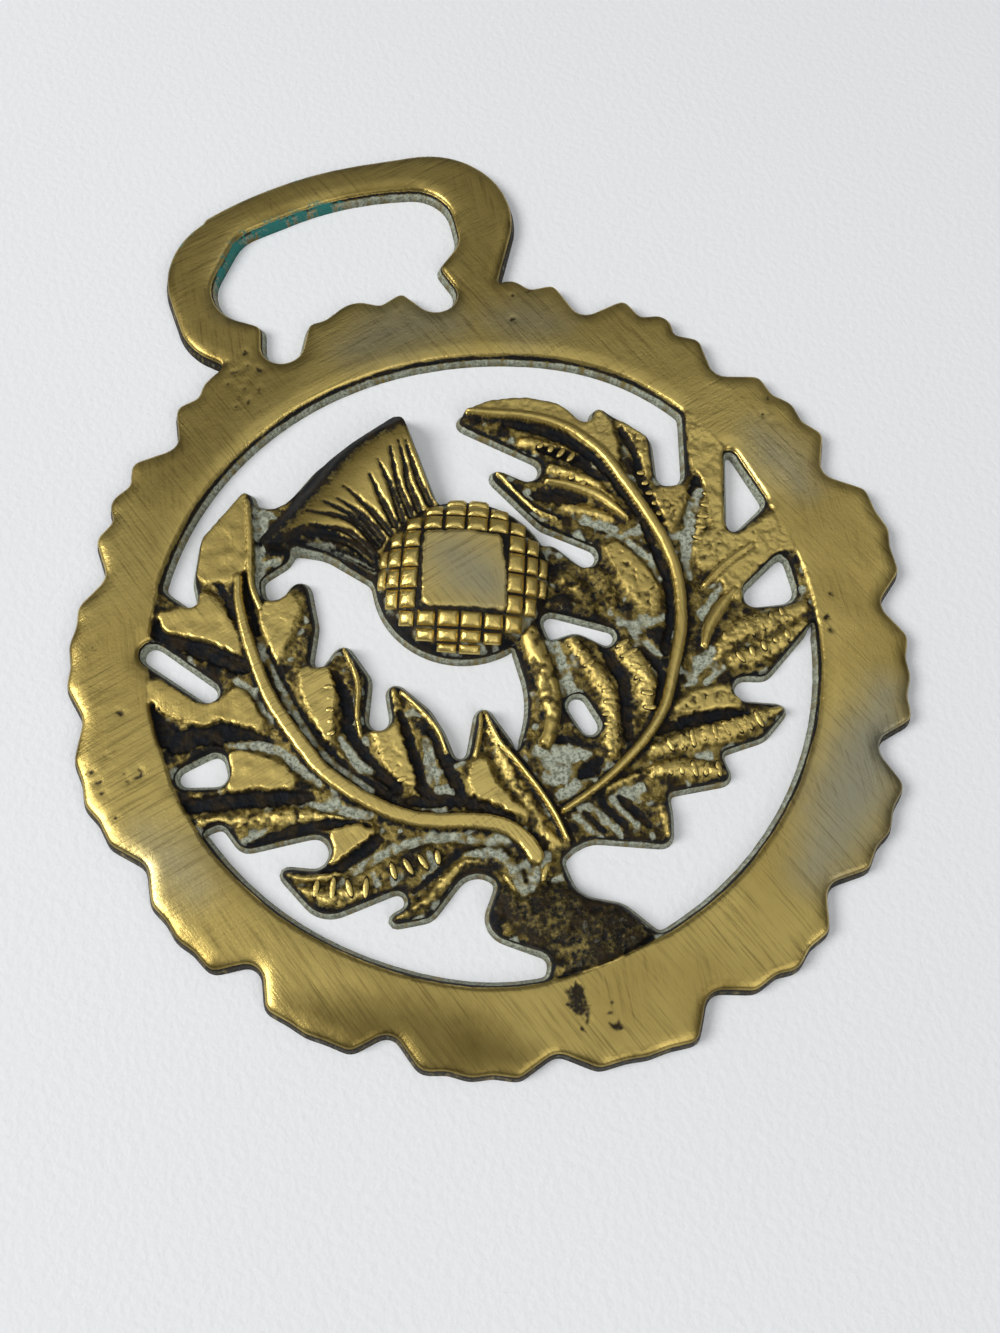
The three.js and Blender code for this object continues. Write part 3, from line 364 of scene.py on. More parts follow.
# ---------------------------------------------------------------- the relief
class Relief:
    """Height and wear of the face, sampled on a fine even grid in drawing millimetres."""

    step = 0.1
    left, bottom, right, top = -43.0, -43.5, 46.0, 63.0
    everywhere = (slice(None), slice(None))

    def __init__(self, loops, sizes):
        self.x = np.arange(self.left, self.right, self.step)
        self.y = np.arange(self.bottom, self.top, self.step)
        self.X, self.Y = np.meshgrid(self.x, self.y)
        self.shape = self.X.shape
        self.inside = self.depth_inside(loops)
        self.sizes = sizes
        self.height = np.full(self.shape, 1.15)
        self.worn = np.zeros(self.shape)  # ground and polished by use
        self.grime = np.full(self.shape, 0.4)  # dark dirt and tarnish, together with painted shade
        self.bloom = np.zeros(self.shape)  # pale dry verdigris
        self.rough = np.ones(self.shape)  # skin left by the mould
        self.tan = np.zeros(self.shape)  # brown film on polished metal; on the rim also painted reflection
        self.dull = np.zeros(self.shape)  # grey film on polished metal; on the rim also painted reflection
        self.teal = np.zeros(self.shape)  # fresh verdigris

    def window(self, points, reach):
        """The rows and columns of the samples within reach of the points."""
        low, high = np.min(points, 0) - reach, np.max(points, 0) + reach
        spans = []
        for axis, start in ((1, self.bottom), (0, self.left)):
            span = ((np.array([low[axis], high[axis]]) - start) / self.step).astype(int) + [0, 2]
            spans.append(slice(*np.clip(span, 0, self.shape[1 - axis])))
        return tuple(spans)

    def path_distance(self, points, reach):
        """Where the path's surroundings are, how far each sample there is from it and how far along."""
        area = self.window(points, reach)
        near = np.full(self.X[area].shape, 1e3)
        along = np.zeros(near.shape)
        count = len(points) - 1
        for k in range(count):
            a, b = points[k], points[k + 1]
            part = self.window(np.array([a, b]), reach)
            rows = slice(part[0].start - area[0].start, part[0].stop - area[0].start)
            cols = slice(part[1].start - area[1].start, part[1].stop - area[1].start)
            e = b - a
            x, y = self.X[part] - a[0], self.Y[part] - a[1]
            t = np.clip((x * e[0] + y * e[1]) / max(e @ e, 1e-9), 0, 1)
            d = np.hypot(x - t * e[0], y - t * e[1])
            closer = d < near[rows, cols]
            near[rows, cols][closer] = d[closer]
            along[rows, cols][closer] = (k + t[closer]) / count
        return area, near, along

    def filled(self, loops):
        """True inside the loops."""
        turns = np.zeros((self.shape[0], self.shape[1] + 1), int)
        for loop in loops:
            for (ax, ay), (bx, by) in zip(loop, np.roll(loop, -1, 0)):
                if ay == by:
                    continue
                first, last = (math.ceil((end - self.bottom) / self.step) for end in sorted((ay, by)))
                rows = np.arange(first, last)
                rows = rows[(rows >= 0) & (rows < self.shape[0])]
                x = ax + (self.bottom + rows * self.step - ay) / (by - ay) * (bx - ax)
                cols = np.clip(np.ceil((x - self.left) / self.step).astype(int), 0, self.shape[1])
                np.add.at(turns, (rows, cols), 1)
        return np.cumsum(turns, 1)[:, :-1] % 2 == 1

    def depth_inside(self, loops):
        """Distance into the metal, up to 4 mm; negative in the openings."""
        depth = np.full(self.shape, 4.0)
        for loop in loops:
            area, near, _ = self.path_distance(np.vstack([loop, loop[:1]]), 4.0)
            depth[area] = np.minimum(depth[area], near)
        return np.where(self.filled(loops), depth, -depth)

    def noise(self, size, seed):
        """Smooth noise of about that grain size, from -1 to 1."""
        random = np.random.default_rng(seed)
        rows, cols = (int(n * self.step / size) + 3 for n in self.shape)
        lattice = random.uniform(-1, 1, (rows, cols))
        fy, fx = (self.y - self.bottom) / size, (self.x - self.left) / size
        j, i = fy.astype(int), fx.astype(int)
        v, u = (smooth(0, 1, f - f.astype(int)) for f in (fy, fx))
        v, u = v[:, None], u[None, :]
        low = lattice[np.ix_(j, i)] * (1 - u) + lattice[np.ix_(j, i + 1)] * u
        high = lattice[np.ix_(j + 1, i)] * (1 - u) + lattice[np.ix_(j + 1, i + 1)] * u
        return low * (1 - v) + high * v

    def blur(self, values, radius):
        """The values averaged twice over a square of that radius."""
        count = max(1, int(radius / self.step))
        for axis in (0, 1, 0, 1):
            pad = [(0, 0), (0, 0)]
            pad[axis] = (count + 1, count)
            total = np.cumsum(np.pad(values, pad, mode="edge"), axis)
            ends = np.take(total, range(2 * count + 1, total.shape[axis]), axis)
            starts = np.take(total, range(0, total.shape[axis] - 2 * count - 1), axis)
            values = (ends - starts) / (2 * count + 1)
        return values

    def set(self, area, mask, **fields):
        """Blends each named field towards its value by the mask."""
        for name, value in fields.items():
            field = getattr(self, name)
            field[area] = field[area] * (1 - mask) + value * mask

    def stroke(self, path, widths, soft, ragged=0.45):
        """The area and mask of a stroke with ragged edges, and its cross position, 1 at the edge."""
        points = curve_through(path)
        area, near, along = self.path_distance(points, max(widths) + soft + 0.8)
        half = np.maximum(swelling(along, widths), 0.05)
        uneven = near + self.ragged[area] * np.minimum(half, 0.8) * ragged
        return area, smooth(half + soft, half - soft, uneven), near / half

    def depth_in(self, outline, reach):
        """Where a softened outline's surroundings are, and how deep inside it each sample there is."""
        loop = even_loop(outline, 0.3)
        area, near, _ = self.path_distance(np.vstack([loop, loop[:1]]), reach)
        return area, np.where(self.filled([loop])[area], near, -near)

    def facet(self, outline):
        """The same for a facet, whose edge is ragged."""
        area, depth = self.depth_in(outline, 1.6)
        return area, depth + 0.14 * self.ragged[area]

    def carve(self):
        """The leaves: lobes, channels, recesses, facets and ribs, in the order that they overlap."""
        fine, coarse = self.noise(0.45, 1), self.noise(1.1, 2)
        self.ragged = 0.6 * fine + 0.5 * self.noise(0.25, 3)
        patches = self.noise(0.9, 5)
        pits = 0.7 * self.noise(0.28, 6) + 0.5 * self.noise(0.6, 7)
        self.height += 0.08 * pits + 0.12 * coarse
        self.grime += 0.04 - 0.35 * pits
        self.worn += 0.3
        self.set(self.everywhere, smooth(0.1, 0.7, coarse), grime=0.85, worn=0)
        self.set(self.everywhere, smooth(-0.2, 0.6, patches) * smooth(0.4, -0.2, coarse), bloom=0.75)
        for top, wear, path, widths in LUMPS:
            area, mask, cross = self.stroke(path, widths, 0.5)
            body = top - 0.4 * np.clip(cross, 0, 1.3) ** 2 + 0.13 * pits[area] + 0.12 * coarse[area]
            soot_and_shade, mottle = (0.66, 0.2) if wear == 0 else (0.55 - 0.35 * wear, 0.4)
            rubbed = np.clip(wear * (1.1 - 0.7 * cross) + mottle * pits[area], 0, 1)
            self.set(area, mask, height=body, worn=rubbed, grime=soot_and_shade - mottle * pits[area],
                     bloom=0.35 * smooth(0.1, 0.7, patches[area]))
        for top, pitted, outline in FACETS:
            area, depth = self.facet(outline)
            fall = np.clip(-depth, 0, 1.2)
            grime = 0.25 + 0.25 * fall - 0.2 * fine[area]
            body = top - 0.05 - 0.5 * fall
            self.set(area, smooth(-1.1, -0.1, depth), height=body, worn=0.45, grime=grime, bloom=0)
        for top, path, widths in PITS:
            area, mask, _ = self.stroke(path, widths, 0.16)
            self.set(area, mask, height=top + 0.06 * fine[area], worn=0, grime=1, bloom=0)
        for top, path, widths in FLOORS:
            area, mask, _ = self.stroke(path, widths, 0.35)
            pale = 0.8 + 0.45 * fine[area]
            grime = 0.2 - 0.2 * fine[area]
            self.set(area, mask, height=top + 0.05 * fine[area], worn=0, grime=grime, bloom=pale)
        for top, pitted, outline in FACETS:
            area, depth = self.facet(outline)
            tilt = 0.06 * coarse[area]
            hollow = pitted * smooth(-0.05, 0.5, pits[area] + 0.3 * patches[area])
            body = top + tilt - 0.16 * hollow
            self.set(area, smooth(-0.3, 0.1, depth), height=body, grime=0.05 + 0.6 * hollow, bloom=0,
                     rough=0.25 + 0.35 * pitted)
            self.set(area, smooth(-0.1, 0.2, depth), worn=1 - 0.7 * hollow)
        for top, path, widths, flat in RIBS:
            area, mask, cross = self.stroke(path, widths, 0.12, 0.12)
            crown = np.clip(cross, 0, 1.1) ** 2
            body = top - (0.5 - 0.42 * flat) * crown
            wear = smooth(1.05, 0.65, cross)
            mottled = max(0.0, -flat) * 3.3 * smooth(-0.3, 0.6, fine[area] + 0.5 * coarse[area])
            grime = 0.25 * (1 - wear) + 0.5 * mottled
            self.set(area, mask, height=body - 0.16 * mottled, grime=grime, bloom=0)
            self.set(area, mask, worn=wear * (0.9 + 0.1 * flat) - 0.6 * mottled, rough=0.45 - 0.3 * flat)

    def add_head(self):
        """The thistle's head: a dark dome with a square flat worn on its top."""
        x, y = self.X - HEAD_CENTRE[0], self.Y - HEAD_CENTRE[1]
        radius = np.hypot(x, y)
        crest = self.sizes["head"]
        dome = 0.9 + (crest - 1.0) * np.sqrt(np.clip(1 - (radius / HEAD_RADIUS) ** 2, 0, 1))
        inside = smooth(HEAD_RADIUS + 0.1, HEAD_RADIUS - 0.25, radius)
        rim = smooth(0.6, 1.0, radius / HEAD_RADIUS) * smooth(-0.5, 0.6, self.noise(0.7, 21))
        self.set(self.everywhere, inside, height=dome, worn=0.1, grime=0.85 - 0.4 * rim, bloom=0.6 * rim,
                 rough=0.8)
        area, depth = self.facet(HEAD_FLAT)
        self.set(area, smooth(-0.3, 0.12, depth), height=crest - 0.2, worn=1, grime=0.08, bloom=0, rough=0.1)

    def add_tuft(self):
        """The tuft above the head: a worn plateau with sloping sides darkened by painted shade, cut by
        flutes from its neck.
        """
        area, depth = self.depth_in(TUFT, 3.5)
        on_tuft = smooth(-0.1, 0.15, depth)
        ragged = self.ragged[area]
        high = self.distance_in(curve_through(TUFT_TOP), area)
        crest = curve_through(TUFT_CREST)
        low = self.distance_in(crest, area)
        under = np.where(self.filled([np.vstack([crest, TUFT_FOOT])])[area], low, -low)
        body = 1.4 + 1.7 * smooth(-0.2, 2.1, high) - 0.45 * smooth(0.2, 2.4, under)
        body -= 0.13 * np.clip(high - 2.5, 0, 9) - 0.06 * self.noise(2.2, 22)[area]
        # Painted shade: the upper bevel and the underside, which slope away from the light, are darkened.
        shaded_bevel = smooth(3.4, 1.3, high + 0.4 * ragged)
        dark = np.maximum(shaded_bevel, smooth(0.1, 0.7, under + 0.5 * ragged))
        rubbed = 1 - dark - 0.35 * smooth(0.2, 1.2, self.noise(0.7, 23)[area])
        self.set(area, on_tuft, height=body, worn=np.clip(rubbed, 0, 1), grime=0.1 + 0.85 * dark, bloom=0,
                 rough=0.5 + 0.3 * dark)
        self.tan[area] = on_tuft * smooth(7, 1.5, high)
        pale = smooth(1.2, 2.2, under + 0.8 * ragged)
        self.set(area, on_tuft * pale * 0.7, bloom=0.7, grime=0.3)
        self.mask_tuft = np.zeros(self.shape)
        self.mask_tuft[area] = on_tuft
        for path in FLUTES:
            part, near, along = self.path_distance(curve_through(path), 1.0)
            half = 0.36 * (1 - 0.8 * along**1.5)
            mask = smooth(half + 0.22, half - 0.12, near + 0.1 * self.ragged[part])
            cut = self.height[part] - 0.6 * (1 - 0.8 * along)
            self.set(part, mask, height=cut, worn=0, grime=0.95, rough=0.5)
            floor = smooth(half * 0.8, 0, near) * smooth(0.8, 0.3, along)
            self.set(part, floor * 0.55, bloom=0.8, grime=0.2)

    def distance_in(self, points, area):
        """Distance to the path from every sample in the area."""
        x, y = self.X[area], self.Y[area]
        near = np.full(x.shape, 1e3)
        for a, b in zip(points, points[1:]):
            e = b - a
            t = np.clip(((x - a[0]) * e[0] + (y - a[1]) * e[1]) / max(e @ e, 1e-9), 0, 1)
            near = np.minimum(near, np.hypot(x - a[0] - t * e[0], y - a[1] - t * e[1]))
        return near

    def add_rim(self):
        """The ground rim and hanger: nearly flat, with a soft outer shoulder and a crisper inner edge."""
        radius = np.hypot(self.X, self.Y)
        angle = np.degrees(np.arctan2(self.Y, self.X))
        opening = OPENING_RADIUS
        for turn, spread, more in ((45, 22, 1.1), (-107, 15, 0.5)):
            opening = opening + more * np.exp(-(((angle - turn) / spread) ** 2))
        opening = opening + 0.12 * self.noise(2.5, 31)
        mask = smooth(opening - 0.25, opening + 0.2, radius)
        sway = 0.035 * self.noise(9, 32) + 0.02 * self.noise(4, 33)
        top = self.sizes["rim"]
        self.set(self.everywhere, mask, height=top + sway, worn=1, grime=0.08, bloom=0, rough=0.15)
        self.on_rim = mask
        self.tan = np.maximum(self.tan * (1 - mask), 0.27 * mask)
        # Brown and grey films; on the rim they also paint the ring's darker and greyer reflections.
        for field, amount, path, widths in FILMS_AND_REFLECTIONS:
            area, film, _ = self.stroke(path, widths, 3.2, 0.5)
            values = getattr(self, field)
            values[area] = np.maximum(values[area], amount * film)
        random = np.random.default_rng(8)
        for x, y, radius, count in SPECKS:
            for _ in range(count):
                u, v = random.normal(0, radius / 2, 2)
                size = random.uniform(0.1, 0.28)
                ends = [(x + u, y + v), (x + u + size, y + v + 0.3 * size)]
                area, speck, _ = self.stroke(ends, (size, size, size), 0.1)
                self.set(area, speck * mask[area], height=top - 0.1, grime=0.75, worn=0.3)
        for grime, path, widths in STAINS:
            area, stain, _ = self.stroke(path, widths, 0.15, 0.8)
            self.set(area, stain * mask[area], grime=grime, worn=0.6)

    def round_edges(self):
        """Rounds every edge, drops the rim's outer shoulder, tints both with film and verdigris, and paints
        shade along every edge.
        """
        edge = 0.3 + 0.25 * self.on_rim
        short = np.clip(1 - self.inside / edge, 0, 1)
        self.height -= edge * (1 - np.sqrt(np.clip(1 - short**2, 0, 1))) * (0.85 - 0.1 * self.on_rim)
        shoulder = smooth(1.5, 0.2, self.inside) * self.on_rim
        self.height -= 0.12 * shoulder
        far_out = smooth(36, 38, np.hypot(self.X, self.Y))
        film = shoulder * far_out * smooth(-0.6, 0.5, self.noise(3, 41))
        self.tan = np.maximum(self.tan, 0.75 * film)
        slot_edge = smooth(0.9, 0.3, self.inside) * smooth(50.5, 52, self.Y) * smooth(5, 1, self.X)
        self.teal = np.maximum(self.teal, 0.55 * slot_edge * self.on_rim)
        # Painted shade: a dark line along every edge where the face turns down, half as strong on the rim.
        line = smooth(0.3, 0.0, self.inside) * (1 - 0.5 * self.on_rim)
        self.grime = np.clip(self.grime + 0.3 * line, 0, 1)

    def settle_dirt_and_shade(self):
        """Dirt and painted shade gather in what is lower than its surroundings, and the high grains are
        rubbed bright.
        """
        solid = np.where(self.inside > 0, 1.0, 0.0)
        height = np.where(self.inside > 0, self.height, 0.0)
        around = self.blur(height, 0.35) / np.maximum(self.blur(solid, 0.35), 1e-3)
        dip = around - self.height
        off = (1 - self.on_rim) * (1 - self.mask_tuft)
        # Painted shade: the hollows are darkened as if shadowed, along with the dirt in them.
        self.grime = np.clip(self.grime + off * 2.0 * np.clip(dip - 0.04, 0, 1), 0, 1)
        proud = np.clip(-dip - 0.05, 0, 1)
        self.worn = np.clip(self.worn - off * 2.5 * np.clip(dip, 0, 1) + off * 0.9 * proud, 0, 1)

    def sample(self, name, points):
        """A field's values at the points, between the samples."""
        field = getattr(self, name)
        fx = np.clip((points[:, 0] - self.left) / self.step, 0, self.shape[1] - 1.001)
        fy = np.clip((points[:, 1] - self.bottom) / self.step, 0, self.shape[0] - 1.001)
        i, j = fx.astype(int), fy.astype(int)
        u, v = fx - i, fy - j
        low = field[j, i] * (1 - u) + field[j, i + 1] * u
        high = field[j + 1, i] * (1 - u) + field[j + 1, i + 1] * u
        return low * (1 - v) + high * v


# ---------------------------------------------------------------- meshing
def hex_points(relief, spacing, wanted):
    """A honeycomb of points in the metal where wanted is true."""
    rows = np.arange(relief.bottom, relief.top, spacing * 0.866)
    cols = np.arange(relief.left, relief.right, spacing)
    x, y = np.meshgrid(cols, rows)
    x = x + (np.arange(len(rows)) % 2)[:, None] * spacing / 2
    points = np.stack([x.ravel(), y.ravel()], 1)
    depth = relief.sample("inside", points)
    return points[(depth > 0.75 * spacing) & wanted(points)]


def carved(points):
    """True for points on the thistle, within the rim's opening."""
    return np.hypot(points[:, 0], points[:, 1]) < OPENING_RADIUS + 1.2


def face_points(relief, loops, fine):
    """The face's points: the outline, two rows inside it where the edge rounds, and a honeycomb."""
    rows = [np.vstack(loops)]
    for inset in (0.12, 0.32):
        for loop in loops:
            moved = loop - inset * outward(loop)
            rows.append(moved[relief.sample("inside", moved) > inset * 0.75])
    for spacing, wanted in ((fine, carved), (2.2 * fine, lambda points: ~carved(points))):
        points = hex_points(relief, spacing, wanted)
        rows.append(points[relief.sample("inside", points) > 0.32 + 0.5 * spacing])
    return np.vstack(rows)


def in_metal(relief, points, loops):
    """True for points in the metal: by the relief's samples, and exactly where an outline is near."""
    depth = relief.sample("inside", points)
    result = depth > 0
    close = np.flatnonzero(np.abs(depth) < 0.7)
    starts = np.vstack(loops)
    ends = np.vstack([np.roll(loop, -1, 0) for loop in loops])
    for part in np.array_split(close, max(1, len(close) // 400)):
        x, y = points[part, 0, None], points[part, 1, None]
        spans = (starts[:, 1] > y) != (ends[:, 1] > y)
        rise = np.where(ends[:, 1] == starts[:, 1], 1e-9, ends[:, 1] - starts[:, 1])
        crossing = starts[:, 0] + (y - starts[:, 1]) * (ends[:, 0] - starts[:, 0]) / rise
        result[part] = np.sum(spans & (crossing > x), 1) % 2 == 1
    return result


def triangulate(relief, points, loops, facing):
    """Triangles of the points in the metal, facing up (1) or down (-1). The loops' points come first."""
    edges = []
    for loop in loops:
        start, count = len(edges), len(loop)
        edges += [(start + k, start + (k + 1) % count) for k in range(count)]
    vectors = [Vector(p) for p in points]
    verts, _, faces, origin, _, _ = delaunay_2d_cdt(vectors, edges, [], 0, 1e-7)
    if len(verts) != len(points):
        raise RuntimeError("the outline crosses itself")
    order = [o[0] for o in origin]
    faces = np.array([[order[v] for v in face] for face in faces])
    faces = faces[in_metal(relief, points[faces].mean(1), loops)]
    a, b, c = (points[faces[:, k]] for k in range(3))
    turn = (b[:, 0] - a[:, 0]) * (c[:, 1] - a[:, 1]) - (b[:, 1] - a[:, 1]) * (c[:, 0] - a[:, 0])
    wrong = turn * facing < 0
    faces[wrong] = faces[wrong][:, ::-1]
    return faces


def wall_spread(relief, loop, draft):
    """How far the wall below each of the loop's points moves outwards, less where an opening is narrow."""
    normals = outward(loop)
    amount = np.full(len(loop), draft * (1.5 if loop_area(loop) < 0 else 1))
    for _ in range(14):
        tight = -relief.sample("inside", loop + normals * (amount * 1.5)[:, None]) < 1.2 * amount
        amount = np.where(tight, amount * 0.8, amount)
        nearby = np.minimum(np.roll(amount, 1), np.roll(amount, -1)) + 0.06
        amount = np.minimum(amount, nearby)
    return normals * amount[:, None]


def wall_fields(edge, loops):
    """What each ring of the walls carries: darker just under the edge, and a pale crust lower in the
    openings.
    """
    area = np.concatenate([np.full(len(loop), loop_area(loop)) for loop in loops])
    small, outer = (area < 0) & (area > -60), area > 0
    blotch = np.random.default_rng(9).uniform(-0.15, 0.15, len(edge))
    # The strap slot lies above the rim, and fresh verdigris grows in it towards its left end.
    teal = np.where(~outer, 0.86 * smooth(46.5, 50, edge[:, 1]) * smooth(8, 2, edge[:, 0]), 0)
    teal = teal - 0.08 + 0.2 * np.sin(edge[:, 0] * 1.7) * np.sin(edge[:, 0] * 0.6 + 1)
    even = {name: np.full(len(edge), value) for name, value in (("rough", 0.8), ("tan", 0.3), ("dull", 0.0))}
    rings = []
    for lining in (0, 1, 0.8):
        rings.append({
            "worn": np.full(len(edge), 0.1 * lining),
            "grime": 0.95 - lining * np.where(outer, 0.3, 0.62) + blotch,
            "bloom": lining * np.where(outer, 0.3, np.where(small, 0.9, 0.72)) + blotch,
            "teal": teal + blotch,
            **even})
    return rings


def casting_mesh(relief, loops, fine, draft):
    """The casting's points in metres, its polygons and its fields: the face, the walls and the flat back."""
    points = face_points(relief, loops, fine)
    edge_count = sum(len(loop) for loop in loops)
    height = relief.sample("height", points)
    co = [np.column_stack([points, height])]
    edge, edge_height = points[:edge_count], height[:edge_count]
    spread = np.vstack([wall_spread(relief, loop, draft) for loop in loops])
    for level in (0.84, 0.62, 0.0):
        out = rounded(edge + spread * (1 - level))
        co.append(np.column_stack([out, edge_height * level]))
    foot = co[-1][:, :2]
    inner = hex_points(relief, 1.4, lambda p: relief.sample("inside", p) > 0.5)
    co.append(np.column_stack([inner, np.zeros(len(inner))]))

    polygons = [tuple(face) for face in triangulate(relief, points, loops, 1)]
    rings = [0] + [len(points) + k * edge_count for k in range(3)]
    start = 0
    for loop in loops:
        count = len(loop)
        for k in range(count):
            m, n = start + k, start + (k + 1) % count
            polygons += [(high + n, high + m, low + m, low + n) for high, low in zip(rings, rings[1:])]
        start += count
    outline = np.split(foot, np.cumsum([len(loop) for loop in loops])[:-1])
    back = triangulate(relief, np.vstack([foot, inner]), outline, -1)
    polygons += [tuple(face + rings[-1]) for face in back]

    walls = wall_fields(edge, loops)
    plain = {"worn": 0.45, "grime": 0.3, "bloom": 0.1, "rough": 0.9, "tan": 0.35, "dull": 0.2, "teal": 0.0}
    fields = {}
    for name in FIELDS:
        parts = [relief.sample(name, points)] + [ring[name] for ring in walls]
        fields[name] = np.concatenate(parts + [np.full(len(inner), plain[name])])
    co = np.vstack(co)
    co[:, :2] += DRAWING_ORIGIN
    return co * MM, polygons, fields


def new_object(name, co, edges, polygons, fields):
    """An object in the scene, its fields kept as attributes of its points."""
    mesh = bpy.data.meshes.new(name)
    mesh.from_pydata([tuple(c) for c in co], edges, polygons)
    mesh.validate()
    for key, values in fields.items():
        values = np.asarray(values, np.float32)
        kind, part = ("FLOAT", "value") if values.ndim == 1 else ("FLOAT_VECTOR", "vector")
        mesh.attributes.new(key, kind, "POINT").data.foreach_set(part, values.ravel())
    mesh.shade_smooth()
    thing = bpy.data.objects.new(name, mesh)
    bpy.context.scene.collection.objects.link(thing)
    return thing


# ---------------------------------------------------------------- nodes
# The kinds of node that are used often.
MATH = "ShaderNodeMath"
MIX = "ShaderNodeMix"
NOISE = "ShaderNodeTexNoise"
RANGE = "ShaderNodeMapRange"
PARTS = "ShaderNodeSeparateXYZ"
STORE = "GeometryNodeStoreNamedAttribute"
READ = "GeometryNodeInputNamedAttribute"
RANDOM = "FunctionNodeRandomValue"
# Their settings.
SMOOTHLY = {"interpolation_type": "SMOOTHSTEP"}
TIMES = {"operation": "MULTIPLY"}
PLUS = {"operation": "ADD"}
MINUS = {"operation": "SUBTRACT"}
FIT = {"operation": "MULTIPLY_ADD"}
MOST = {"operation": "MAXIMUM"}
ABOVE = {"operation": "GREATER_THAN"}


def linear(hex_colour):
    """An sRGB hex colour as linear RGBA."""
    parts = [int(hex_colour[k : k + 2], 16) / 255 for k in (1, 3, 5)]
    return [c / 12.92 if c <= 0.04045 else ((c + 0.055) / 1.055) ** 2.4 for c in parts] + [1.0]


def add(tree, kind, *values, out=None, **named):
    """Adds a node with its settings and links, and gives the output asked for, or else its first.

    Names in small letters are the node's own settings. Names with a capital are its inputs, with _ for a
    space, and values without a name go to its first inputs in turn. A value that is an output is linked.
    """
    node = tree.nodes.new(kind)
    for key in [key for key in named if key[0].islower()]:
        setattr(node, key, named.pop(key))
    sockets = {socket.identifier.replace(" ", "_"): socket for socket in node.inputs}
    given = list(zip(node.inputs, values)) + [(sockets[key], value) for key, value in named.items()]
    for socket, value in given:
        if isinstance(value, bpy.types.NodeSocket):
            tree.links.new(value, socket)
        else:
            socket.default_value = value
    outputs = {socket.identifier: socket for socket in node.outputs}
    return outputs[out] if out else next(iter(outputs.values()), None)


# ---------------------------------------------------------------- materials
# Sizes of the patterns in the brass and the cloth, in millimetres.
FINE_GRAIN = 0.2941
MEDIUM_GRAIN = 1.3158
BROAD_CLOUD = 13.333
BLOTCH = 26.316
SCRATCH_LENGTH = 5.882
SCRATCH_DEPTH = 2.5
CLOTH_THREAD = 0.7143
CLOTH_CLOUD = 111.11


def scratches(tree, place, turn, apart, seed):
    """Straight scratches in one direction, that many millimetres apart: noise drawn out along it.

    Real ones are a few hundredths of a millimetre apart, too fine to show, so they are drawn coarser.
    """
    size = [1 / (length * MM) for length in (SCRATCH_LENGTH, apart, SCRATCH_DEPTH)]
    turned = add(tree, "ShaderNodeMapping", Vector=place, Rotation=(0, 0, math.radians(-turn)))
    drawn = add(tree, "ShaderNodeMapping", Vector=turned, Scale=size, Location=(seed, seed, 0))
    return add(tree, NOISE, Vector=drawn, Scale=1.0, Detail=3.0, Roughness=0.65)


def frayed(tree, amount, grains, low, high):
    """The amount with its edge broken up by grains, each a noise and its strength, then made steep."""
    for noise, strength in grains:
        grain = add(tree, MATH, noise, strength, -strength / 2, **FIT)
        amount = add(tree, MATH, amount, grain, **PLUS)
    return add(tree, RANGE, amount, low, high, **SMOOTHLY)


def layered(tree, base, layers):
    """The base with each layer over it: how much of it there is, and its colour."""
    for amount, tint in layers:
        base = add(tree, MIX, data_type="RGBA", Factor_Float=amount, A_Color=base, B_Color=tint,
                   out="Result_Color")
    return base


